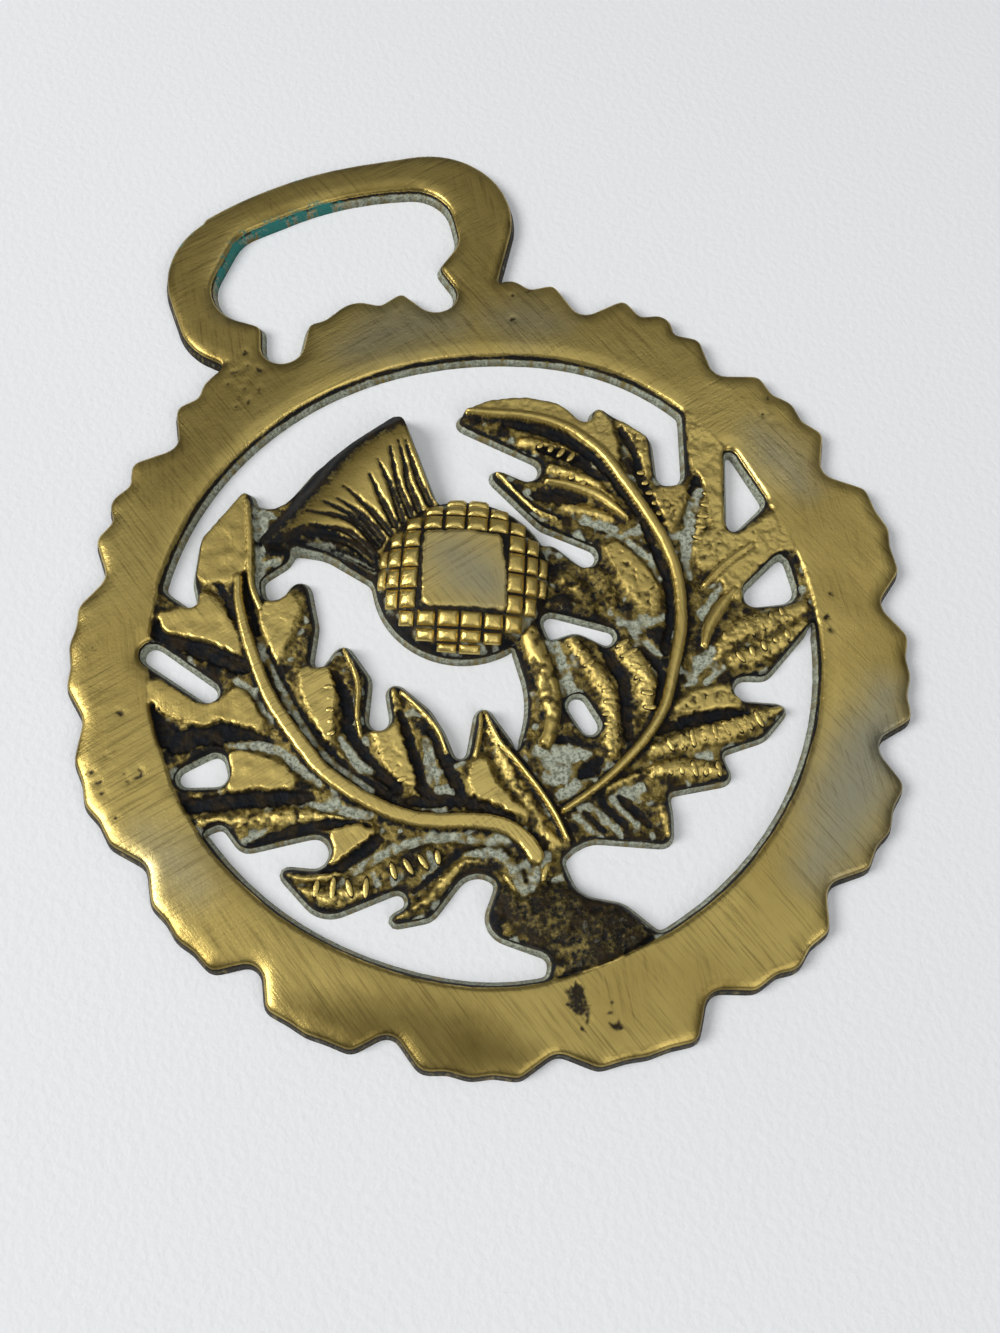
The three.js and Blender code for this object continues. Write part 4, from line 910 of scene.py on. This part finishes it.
def aged_brass(palette):
    """Cast brass, ground on its high parts and long unpolished.

    The worn metal gives bright, brushed highlights. The dirt with painted shade and the dry verdigris in the
    recesses stay dark or chalky, which is what makes the carving read.
    """
    material = bpy.data.materials.new("Aged brass")
    material.use_nodes = True
    tree = material.node_tree
    tree.nodes.clear()
    place = add(tree, "ShaderNodeTexCoord", out="Object")
    field = {n: add(tree, "ShaderNodeAttribute", attribute_name=n, out="Fac") for n in FIELDS}
    grains = ((FINE_GRAIN, 4, 0.65), (MEDIUM_GRAIN, 5, 0.65), (BROAD_CLOUD, 4, 0.55), (BLOTCH, 2, 0.5))
    fine, medium, broad, blotch = (
        add(tree, NOISE, Vector=place, Scale=1 / (size * MM), Detail=detail, Roughness=rough)
        for size, detail, rough in grains)

    # Brushing: sets of crossing scratches that take turns over the face.
    one = scratches(tree, place, 12, 0.2381, 0)
    two = scratches(tree, place, -72, 0.2174, 7)
    three = scratches(tree, place, 80, 0.2632, 3)
    foot = add(tree, RANGE, add(tree, PARTS, place, out="Y"), -18 * MM, -34 * MM, **SMOOTHLY)
    zone = add(tree, MATH, add(tree, RANGE, blotch, 0.42, 0.58, **SMOOTHLY), foot, **MOST)
    pair = add(tree, MIX, Factor_Float=zone, A_Float=one, B_Float=two)
    across = add(tree, RANGE, broad, 0.5, 0.7, **SMOOTHLY)
    lines = add(tree, MIX, Factor_Float=across, A_Float=pair, B_Float=three)

    # Clean metal with thin films over it, which on the rim also paint reflections; its scratches show as
    # darker lines.
    tarnish = add(tree, RANGE, broad, 0.35, 0.7, **SMOOTHLY)
    brown = add(tree, MATH, field["tan"], add(tree, MATH, broad, 0.7, 0.55, **FIT), **TIMES)
    grey = add(tree, MATH, field["dull"], add(tree, MATH, broad, 1.0, 0.4, **FIT), **TIMES)
    metal = layered(tree, palette["brass"], (
        (add(tree, MATH, tarnish, 0.5, **TIMES), palette["tarnish"]), (brown, palette["brown_film"]),
        (grey, palette["grey"])))
    brushed = add(tree, RANGE, field["rough"], 0.5, 0.2, **SMOOTHLY)
    grooved = add(tree, MATH, add(tree, RANGE, lines, 0.54, 0.3, **SMOOTHLY), brushed, **TIMES)
    metal = layered(tree, metal, ((grooved, layered(tree, metal, ((0.42, palette["scratch"]),))),))
    patchy = add(tree, RANGE, medium, 0.36, 0.62, **SMOOTHLY)
    cast = layered(tree, palette["cast"], ((patchy, palette["brown_film"]),))
    worn = frayed(tree, field["worn"], ((fine, 0.8),), 0.2, 0.7)

    # What lies on the metal: dirt with painted shade in the hollows and along the edges, the dry crust of
    # verdigris, and fresh verdigris.
    dirt_and_shade = frayed(tree, field["grime"], ((medium, 0.8), (fine, 0.7)), 0.3, 0.8)
    pale = frayed(tree, field["bloom"], ((medium, 1.0), (fine, 0.6)), 0.35, 0.75)
    fresh = frayed(tree, field["teal"], ((medium, 1.2), (fine, 0.6)), 0.5, 0.8)
    thin = add(tree, RANGE, medium, 0.4, 0.7, **SMOOTHLY)
    # The dark layer's colour serves both dirt and painted shade.
    soot_and_shade = layered(tree, palette["grime"], ((thin, palette["grime_brown"]),))
    old = add(tree, RANGE, fine, 0.4, 0.65, **SMOOTHLY)
    crust = layered(tree, palette["bloom"], ((old, palette["bloom_dark"]),))
    base = layered(tree, cast, ((worn, metal), (dirt_and_shade, soot_and_shade), (pale, crust), (fresh, palette["teal"])))
    pale = add(tree, MATH, pale, fresh, **MOST)

    metallic = add(tree, MATH, 1.0, add(tree, MATH, dirt_and_shade, 0.25, **TIMES), **MINUS)
    bare = add(tree, MATH, 1.0, add(tree, MATH, pale, 0.9, **TIMES), **MINUS)
    metallic = add(tree, MATH, metallic, bare, **TIMES)
    rough = add(tree, MATH, tarnish, 0.08, 0.46, **FIT)
    rough = add(tree, MATH, rough, add(tree, MATH, worn, 0.18, **TIMES), **MINUS)
    rough = add(tree, MATH, rough, add(tree, MATH, lines, 0.22, -0.1, **FIT), **PLUS)
    rough = add(tree, MATH, rough, add(tree, MATH, dirt_and_shade, 0.12, **TIMES), **PLUS)
    rough = add(tree, MATH, rough, add(tree, MATH, pale, 0.85, **TIMES), **MOST)

    # Depths of the mould's skin, of its grain and of the brushed grooves.
    skin = add(tree, MATH, medium, add(tree, MATH, field["rough"], 0.22 * MM, **TIMES), **TIMES)
    grain = add(tree, MATH, fine, add(tree, MATH, field["rough"], 0.08 * MM, 0.008 * MM, **FIT), **TIMES)
    grooves = add(tree, MATH, lines, add(tree, MATH, brushed, 0.02 * MM, **TIMES), **TIMES)
    relief = add(tree, MATH, add(tree, MATH, skin, grain, **PLUS), grooves, **PLUS)
    bump = add(tree, "ShaderNodeBump", Strength=1.0, Distance=1.0, Height=relief)
    shader = add(tree, "ShaderNodeBsdfPrincipled", Base_Color=base, Metallic=metallic, Roughness=rough,
                 Normal=bump)
    add(tree, "ShaderNodeOutputMaterial", Surface=shader)
    return material


def floor_cloth(colour):
    """Matt white woven cloth, whose faint weave and unevenness keep the floor from being one flat value."""
    material = bpy.data.materials.new("White cloth")
    material.use_nodes = True
    tree = material.node_tree
    tree.nodes.clear()
    place = add(tree, "ShaderNodeTexCoord", out="Object")
    cloud = add(tree, NOISE, Vector=place, Scale=1 / (CLOTH_CLOUD * MM), Detail=3.0)
    tone = layered(tree, colour, ((cloud, [c * 0.93 for c in colour[:3]] + [1]),))
    weave = add(tree, NOISE, Vector=place, Scale=1 / (CLOTH_THREAD * MM), Detail=2.0)
    bump = add(tree, "ShaderNodeBump", Strength=0.25, Distance=0.4 * MM, Height=weave)
    shader = add(tree, "ShaderNodeBsdfPrincipled", Base_Color=tone, Roughness=0.9, Normal=bump)
    add(tree, "ShaderNodeOutputMaterial", Surface=shader)
    return material


# ---------------------------------------------------------------- geometry nodes
def new_tree(name, inputs):
    """A geometry node tree with named inputs, and its group input and output nodes."""
    tree = bpy.data.node_groups.new(name, "GeometryNodeTree")
    tree.interface.new_socket("Geometry", in_out="INPUT", socket_type="NodeSocketGeometry")
    for label, kind, default in (*inputs, ("Material", "Material", None)):
        socket = tree.interface.new_socket(label, in_out="INPUT", socket_type="NodeSocket" + kind)
        if default is not None:
            socket.default_value = default
    tree.interface.new_socket("Geometry", in_out="OUTPUT", socket_type="NodeSocketGeometry")
    return tree, tree.nodes.new("NodeGroupInput").outputs, tree.nodes.new("NodeGroupOutput")


def finish_tree(tree, geometry, source, target):
    """Ends a tree: real geometry with its material."""
    real = add(tree, "GeometryNodeRealizeInstances", geometry)
    coated = add(tree, "GeometryNodeSetMaterial", Geometry=real, Material=source["Material"])
    tree.links.new(coated, target.inputs["Geometry"])
    return tree


def store_fields(tree, geometry, fields):
    """The geometry with each named field kept on its points, for the material to read."""
    for name, value in fields.items():
        geometry = add(tree, STORE, data_type="FLOAT", domain="POINT", Geometry=geometry, Name=name,
                       Value=value)
    return geometry


def apply_tree(thing, tree, values):
    """Runs the tree on the object with the values given, and keeps the result as a plain mesh."""
    modifier = thing.modifiers.new(tree.name, "NODES")
    modifier.node_group = tree
    for item in tree.interface.items_tree:
        if item.item_type == "SOCKET" and item.in_out == "INPUT" and item.name in values:
            modifier[item.identifier] = values[item.name]
    bpy.context.view_layer.update()
    graph = bpy.context.evaluated_depsgraph_get()
    mesh = bpy.data.meshes.new_from_object(thing.evaluated_get(graph), preserve_all_data_layers=True,
                                           depsgraph=graph)
    thing.modifiers.remove(modifier)
    thing.data = mesh
    if not mesh.polygons:
        raise RuntimeError(tree.name + " made nothing")
    mesh.shade_smooth()


def skin_tree():
    """Roughens the casting where the mould's skin is left, by noise along its normals."""
    tree, source, target = new_tree("Cast skin", [
        ("Grain", "Float", 1.0), ("Depth", "Float", 0.12 * MM), ("Seed", "Float", 0.0)])
    place = add(tree, "GeometryNodeInputPosition")
    noise = add(tree, NOISE, noise_dimensions="4D", Vector=place, W=source["Seed"], Scale=source["Grain"],
                Detail=3.0, Roughness=0.6)
    rough = add(tree, READ, data_type="FLOAT", Name="rough")
    amount = add(tree, MATH, add(tree, MATH, noise, 0.5, **MINUS), rough, **TIMES)
    amount = add(tree, MATH, amount, source["Depth"], **TIMES)
    off_back = add(tree, MATH, add(tree, PARTS, place, out="Z"), 0.05 * MM, **ABOVE)
    amount = add(tree, MATH, amount, off_back, **TIMES)
    normal = add(tree, "GeometryNodeInputNormal")
    push = add(tree, "ShaderNodeVectorMath", operation="SCALE", Vector=normal, Scale=amount)
    moved = add(tree, "GeometryNodeSetPosition", Geometry=source["Geometry"], Offset=push)
    return finish_tree(tree, moved, source, target)


def stud_tree():
    """Stands a small square stud on every point, turned and tilted by the points' attributes."""
    tree, source, target = new_tree("Thistle studs", [
        ("Stud", "Float", 1.5 * MM), ("Height", "Float", 0.6 * MM), ("Seed", "Int", 1)])
    cube = add(tree, "GeometryNodeMeshCube", Vertices_X=7, Vertices_Y=7, Vertices_Z=2)
    place = add(tree, "GeometryNodeInputPosition")
    x, y, z = (add(tree, PARTS, place, out=axis) for axis in "XYZ")
    side_x, side_y = (add(tree, MATH, axis, operation="ABSOLUTE") for axis in (x, y))
    reach = add(tree, MATH, side_x, side_y, **MOST)
    sides = add(tree, MATH, side_x, side_y, operation="MINIMUM")
    # The top falls off towards its sides, most at the corners, and the foot is sunk into the head.
    corner = add(tree, MATH, add(tree, MATH, reach, sides, **TIMES), 0.55, **TIMES)
    fall = add(tree, MATH, add(tree, RANGE, reach, 0.24, 0.56, **SMOOTHLY), corner, **PLUS)
    top = add(tree, MATH, 1.0, add(tree, MATH, fall, 0.8, **TIMES), **MINUS)
    upper = add(tree, MATH, z, 0.0, **ABOVE)
    foot = add(tree, MATH, add(tree, MATH, 1.0, upper, **MINUS), -0.6, **TIMES)
    level = add(tree, MATH, add(tree, MATH, top, upper, **TIMES), foot, **PLUS)
    scaled = [add(tree, MATH, value, source[size], **TIMES)
              for value, size in ((x, "Stud"), (y, "Stud"), (level, "Height"))]
    shaped = add(tree, "GeometryNodeSetPosition", Geometry=cube,
                 Position=add(tree, "ShaderNodeCombineXYZ", *scaled))
    tint = add(tree, MATH, add(tree, RANGE, reach, 0.47, 0.26, **SMOOTHLY), upper, **TIMES)
    dark = add(tree, MATH, add(tree, MATH, 1.0, tint, **MINUS), 0.75, 0.12, **FIT)
    stored = store_fields(tree, shaped, {"worn": tint, "grime": dark, "rough": 0.5})
    lean, span = (add(tree, READ, data_type="FLOAT_VECTOR", Name=name) for name in ("lean", "span"))
    seed = source["Seed"]
    grow = add(tree, RANDOM, data_type="FLOAT", Min_001=0.9, Max_001=1.04, Seed=seed, out="Value_001")
    grown = add(tree, "ShaderNodeVectorMath", operation="SCALE", Vector=span, Scale=grow)
    studs = add(tree, "GeometryNodeInstanceOnPoints", Points=source["Geometry"], Instance=stored,
                Rotation=lean, Scale=grown)
    return finish_tree(tree, studs, source, target)


def rung_tree():
    """Lays short rounded rungs across each guide line, evenly along it."""
    tree, source, target = new_tree("Hatched rungs", [
        ("Pitch", "Float", 0.9 * MM), ("Width", "Float", 0.5 * MM), ("Height", "Float", 0.25 * MM),
        ("Seed", "Int", 1)])
    reach = add(tree, READ, data_type="FLOAT", Name="reach")
    curve = add(tree, "GeometryNodeMeshToCurve", Mesh=source["Geometry"])
    spaced = add(tree, "GeometryNodeResampleCurve", mode="LENGTH", Curve=curve, Length=source["Pitch"])
    ball = add(tree, "GeometryNodeMeshUVSphere", Segments=12, Rings=8, Radius=1.0)
    tangent = add(tree, "GeometryNodeInputTangent")
    turn = add(tree, "FunctionNodeAlignRotationToVector", axis="X", Vector=tangent)
    seed = source["Seed"]
    shake = add(tree, RANDOM, data_type="FLOAT", Min_001=0.85, Max_001=1.6, Seed=seed, out="Value_001")
    seed = add(tree, MATH, seed, 3, **PLUS)
    sway = add(tree, RANDOM, data_type="FLOAT", Min_001=-0.3, Max_001=0.3, Seed=seed, out="Value_001")
    sway = add(tree, "FunctionNodeAxisAngleToRotation", Axis=(0, 0, 1), Angle=sway)
    swayed = add(tree, "FunctionNodeRotateRotation", rotation_space="LOCAL", Rotation=turn, Rotate_By=sway)
    long = add(tree, MATH, add(tree, MATH, reach, 0.5, **TIMES), shake, **TIMES)
    wide = add(tree, MATH, source["Width"], 0.5, **TIMES)
    scale = add(tree, "ShaderNodeCombineXYZ", wide, long, source["Height"])
    z = add(tree, PARTS, add(tree, "GeometryNodeInputPosition"), out="Z")
    tint = add(tree, RANGE, z, 0.35, 0.85, **SMOOTHLY)
    dark = add(tree, MATH, add(tree, MATH, 1.0, tint, **MINUS), 0.85, **TIMES)
    stored = store_fields(tree, ball, {"worn": tint, "grime": dark, "rough": 0.6})
    laid = add(tree, "GeometryNodeInstanceOnPoints", Points=spaced, Instance=stored, Rotation=swayed,
               Scale=scale)
    return finish_tree(tree, laid, source, target)


# ---------------------------------------------------------------- properties
def colour(name, words, value):
    """A colour that the panel shows, from its sRGB hex."""
    return bpy.props.FloatVectorProperty(name=name, description=words, subtype="COLOR", size=4,
                                         default=linear(value))


def length(name, words, millimetres):
    """A size that the panel shows."""
    size = millimetres * MM
    return bpy.props.FloatProperty(name=name, description=words, unit="LENGTH", default=size, min=0)


class BrassSizes(bpy.types.PropertyGroup):
    rim: length("Rim", "Height of the rim and hanger above the back", 1.7)
    head: length("Head", "Height of the thistle's head at its crest", 3.6)
    draft: length("Draft", "How far the walls spread towards the back", 0.35)
    spacing: length("Spacing", "Distance between points of the carved face", 0.2)
    stud_pitch: length("Stud pitch", "Distance between the head's studs", 2.25)
    stud: length("Stud", "Width of a stud", 2.05)
    stud_height: length("Stud height", "Height of a stud above the head", 0.4)
    rung_pitch: length("Rung pitch", "Distance between the rungs on the lobes", 1.12)
    rung_width: length("Rung width", "Width of a rung along its row", 0.66)
    rung_height: length("Rung height", "Height of a rung above the lobe", 0.22)
    skin: length("Skin", "Depth of the mould's skin", 0.12)
    skin_grain: length("Skin grain", "Size of the grains in the mould's skin", 1 / 0.9)


class BrassColours(bpy.types.PropertyGroup):
    brass: colour("Brass", "Rubbed metal", "#dcc373")
    tarnish: colour("Tarnish", "Metal with a thin film", "#b49a55")
    # The brown and grey films' colours also paint the rim's darker and greyer reflections.
    brown_film: colour("Brown film", "Metal with a brown film", "#54461f")
    grey: colour("Grey film", "Metal with a grey film", "#a09f8b")
    scratch: colour("Scratch", "The shade in the scratches", "#5a4a26")
    cast: colour("Cast", "Metal still in its casting skin", "#8f7e48")
    # Grime and brown grime colour both the dirt and the painted shade in hollows, along edges and on the
    # tuft.
    grime: colour("Grime", "Packed dirt", "#11151a")
    grime_brown: colour("Brown grime", "Thin dirt", "#332815")
    bloom: colour("Verdigris", "Dry pale verdigris", "#b4b8a4")
    bloom_dark: colour("Old verdigris", "Verdigris with dirt in it", "#6f7464")
    teal: colour("Teal", "Fresh verdigris", "#2c7a72")
    cloth: colour("Cloth", "The floor", "#f1f2f3")
    room: colour("Room", "The light from all round", "#e4e7ea")


# ---------------------------------------------------------------- operators
# What the casting's operator leaves for the others: the relief and the brass.
shared = {}


def in_frame(x, y, z):
    """A place in the drawing's millimetres, in the frame's metres."""
    return ((x + DRAWING_ORIGIN[0]) * MM, (y + DRAWING_ORIGIN[1]) * MM, z * MM)


def from_casting(name):
    """What the casting's operator left, by name."""
    if name not in shared:
        raise RuntimeError("add the casting first")
    return shared[name]


class BRASS_OT_casting(bpy.types.Operator):
    """Adds the casting with its carved face"""

    bl_idname = "brass.casting"
    bl_label = "Casting"

    def execute(self, context):
        sizes = context.scene.brass_sizes
        colours = context.scene.brass_colours
        brass = aged_brass({name: list(getattr(colours, name)) for name in BrassColours.__annotations__})
        loops = [rounded(even_loop(loop, 0.25)) for loop in frame_outlines(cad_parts["horse_brass"])]
        relief = Relief(loops, {"rim": sizes.rim / MM, "head": sizes.head / MM})
        relief.carve()
        relief.add_tuft()
        relief.add_head()
        relief.add_rim()
        relief.round_edges()
        relief.settle_dirt_and_shade()
        shared.update(brass=brass, relief=relief)
        co, polygons, fields = casting_mesh(relief, loops, sizes.spacing / MM, sizes.draft / MM)
        casting = new_object("casting", co, [], polygons, fields)
        values = {"Grain": 1 / sizes.skin_grain, "Depth": sizes.skin, "Seed": 3.0, "Material": brass}
        apply_tree(casting, skin_tree(), values)
        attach(casting, "root")
        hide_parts("horse_brass")
        return {"FINISHED"}


class BRASS_OT_studs(bpy.types.Operator):
    """Adds the studs on the thistle's head"""

    bl_idname = "brass.studs"
    bl_label = "Studs"

    def execute(self, context):
        brass, relief = from_casting("brass"), from_casting("relief")
        sizes = context.scene.brass_sizes
        pitch = sizes.stud_pitch / MM / HEAD_RADIUS
        cos, sin = math.cos(STUD_TURN), math.sin(STUD_TURN)
        spots, leans, spans = [], [], []
        for row, column in ((row + 0.5, column + 0.5) for row in range(-5, 5) for column in range(-5, 5)):
            # The rows follow the bowl's curve, so they crowd together towards its rim.
            a, b = row * pitch, column * pitch
            u, v = HEAD_RADIUS * math.sin(a), HEAD_RADIUS * math.sin(b)
            x, y = u * cos - v * sin, u * sin + v * cos
            radius = math.hypot(x, y)
            if radius > HEAD_RADIUS - 0.45 or max(abs(row), abs(column)) < 2:
                continue
            place = np.array([[x + HEAD_CENTRE[0], y + HEAD_CENTRE[1]]])
            steep = 2.4 * radius / HEAD_RADIUS**2 / math.sqrt(max(1 - (radius / HEAD_RADIUS) ** 2, 0.12))
            normal = Vector((x / radius * steep, y / radius * steep, 1)).normalized()
            side = normal.cross(Vector((cos, sin, 0))).normalized()
            spots.append(in_frame(*place[0], relief.sample("height", place)[0]))
            leans.append(tuple(Matrix((side.cross(normal), side, normal)).transposed().to_euler()))
            spans.append((max(math.cos(a), 0.45), max(math.cos(b), 0.45), 1))
        studs = new_object("studs", spots, [], [], {"lean": leans, "span": spans})
        values = {"Stud": sizes.stud, "Height": sizes.stud_height, "Seed": 4, "Material": brass}
        apply_tree(studs, stud_tree(), values)
        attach(studs, "root")
        return {"FINISHED"}


class BRASS_OT_rungs(bpy.types.Operator):
    """Adds the hatched rungs on the leaves' lobes"""

    bl_idname = "brass.rungs"
    bl_label = "Rungs"

    def execute(self, context):
        brass = from_casting("brass")
        sizes = context.scene.brass_sizes
        spots, edges, reaches = [], [], []
        for top, start, end, reach in HATCHES:
            edges.append((len(spots), len(spots) + 1))
            spots += [in_frame(*start, top - 0.12), in_frame(*end, top - 0.12)]
            reaches += [reach * MM] * 2
        rungs = new_object("rungs", spots, edges, [], {"reach": reaches})
        values = {"Pitch": sizes.rung_pitch, "Width": sizes.rung_width, "Height": sizes.rung_height,
                  "Seed": 5, "Material": brass}
        apply_tree(rungs, rung_tree(), values)
        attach(rungs, "root")
        return {"FINISHED"}


FLOOR_REACH = 2.0
# Each lamp's name, place and width in metres, and its power in watts.
LAMPS = (
    ("window", (-0.85, 0.2, 0.8), 0.6, 9.5),
    ("fill", (0.3, -0.8, 0.75), 0.8, 3.0),
    ("gleam", (0.42, 0.27, 0.86), 0.22, 0.16),
)
# The camera: where it stands in the drawing's millimetres, how it looks, and its lens.
EYE = (-17.95, -42.51, 109.3)
LOOKING = (0.1552, 0.3371, -0.9286)
RIGHTWARD = (0.9357, -0.3517, 0.0287)
SENSOR_MM = 36
LENS_MM = 32.4


def soft_room(colour):
    """A plain pale room that is brighter overhead, which the metal mirrors."""
    world = bpy.data.worlds.new("Soft room")
    world.use_nodes = True
    tree = world.node_tree
    tree.nodes.clear()
    up = add(tree, PARTS, add(tree, "ShaderNodeTexCoord", out="Generated"), out="Z")
    glow = add(tree, MATH, add(tree, RANGE, up, 0.79, 0.88, **SMOOTHLY), 0.56, 0.24, **FIT)
    back = add(tree, "ShaderNodeBackground", Color=colour, Strength=glow)
    add(tree, "ShaderNodeOutputWorld", Surface=back)
    return world


class BRASS_OT_stage(bpy.types.Operator):
    """Adds the floor, the soft light and the camera"""

    bl_idname = "brass.stage"
    bl_label = "Stage"

    def execute(self, context):
        scene = context.scene
        corners = [(-1, -1, 0), (1, -1, 0), (1, 1, 0), (-1, 1, 0)]
        floor = new_object("floor", FLOOR_REACH * np.array(corners), [], [(0, 1, 2, 3)], {})
        floor.data.materials.append(floor_cloth(list(scene.brass_colours.cloth)))
        for name, place, size, power in LAMPS:
            light = bpy.data.lights.new(name, "AREA")
            light.shape = "DISK"
            light.size = size
            light.energy = power
            lamp = bpy.data.objects.new(name, light)
            lamp.location = place
            lamp.rotation_euler = Vector(place).to_track_quat("Z", "Y").to_euler()
            scene.collection.objects.link(lamp)
        scene.world = soft_room(list(scene.brass_colours.room))
        camera = bpy.data.cameras.new("camera")
        camera.sensor_fit = "VERTICAL"
        camera.sensor_height = SENSOR_MM
        camera.lens = LENS_MM
        camera.clip_start = 0.005
        forward = Vector(LOOKING).normalized()
        right = Vector(RIGHTWARD)
        right = (right - forward * right.dot(forward)).normalized()
        eye = bpy.data.objects.new("camera", camera)
        turned = Matrix((right, right.cross(forward), -forward)).transposed()
        eye.matrix_world = Matrix.Translation(in_frame(*EYE)) @ turned.to_4x4()
        scene.collection.objects.link(eye)
        scene.camera = eye
        scene.view_settings.view_transform = "Standard"
        return {"FINISHED"}


class BRASS_PT_panel(bpy.types.Panel):
    bl_label = "Horse brass"
    bl_idname = "BRASS_PT_panel"
    bl_space_type = "VIEW_3D"
    bl_region_type = "UI"
    bl_category = "Brass"

    def draw(self, context):
        for group in (context.scene.brass_sizes, context.scene.brass_colours):
            for name in group.__annotations__:
                self.layout.prop(group, name)
        for operator in ("brass.casting", "brass.studs", "brass.rungs", "brass.stage"):
            self.layout.operator(operator)


CLASSES = (BrassSizes, BrassColours, BRASS_OT_casting, BRASS_OT_studs, BRASS_OT_rungs, BRASS_OT_stage,
           BRASS_PT_panel)


def register():
    for cls in CLASSES:
        bpy.utils.register_class(cls)
    bpy.types.Scene.brass_sizes = bpy.props.PointerProperty(type=BrassSizes)
    bpy.types.Scene.brass_colours = bpy.props.PointerProperty(type=BrassColours)


def unregister():
    del bpy.types.Scene.brass_colours
    del bpy.types.Scene.brass_sizes
    for cls in reversed(CLASSES):
        bpy.utils.unregister_class(cls)


def main():
    register()
    bpy.ops.brass.casting()
    bpy.ops.brass.studs()
    bpy.ops.brass.rungs()
    bpy.ops.brass.stage()


if __name__ == "__main__":
    main()
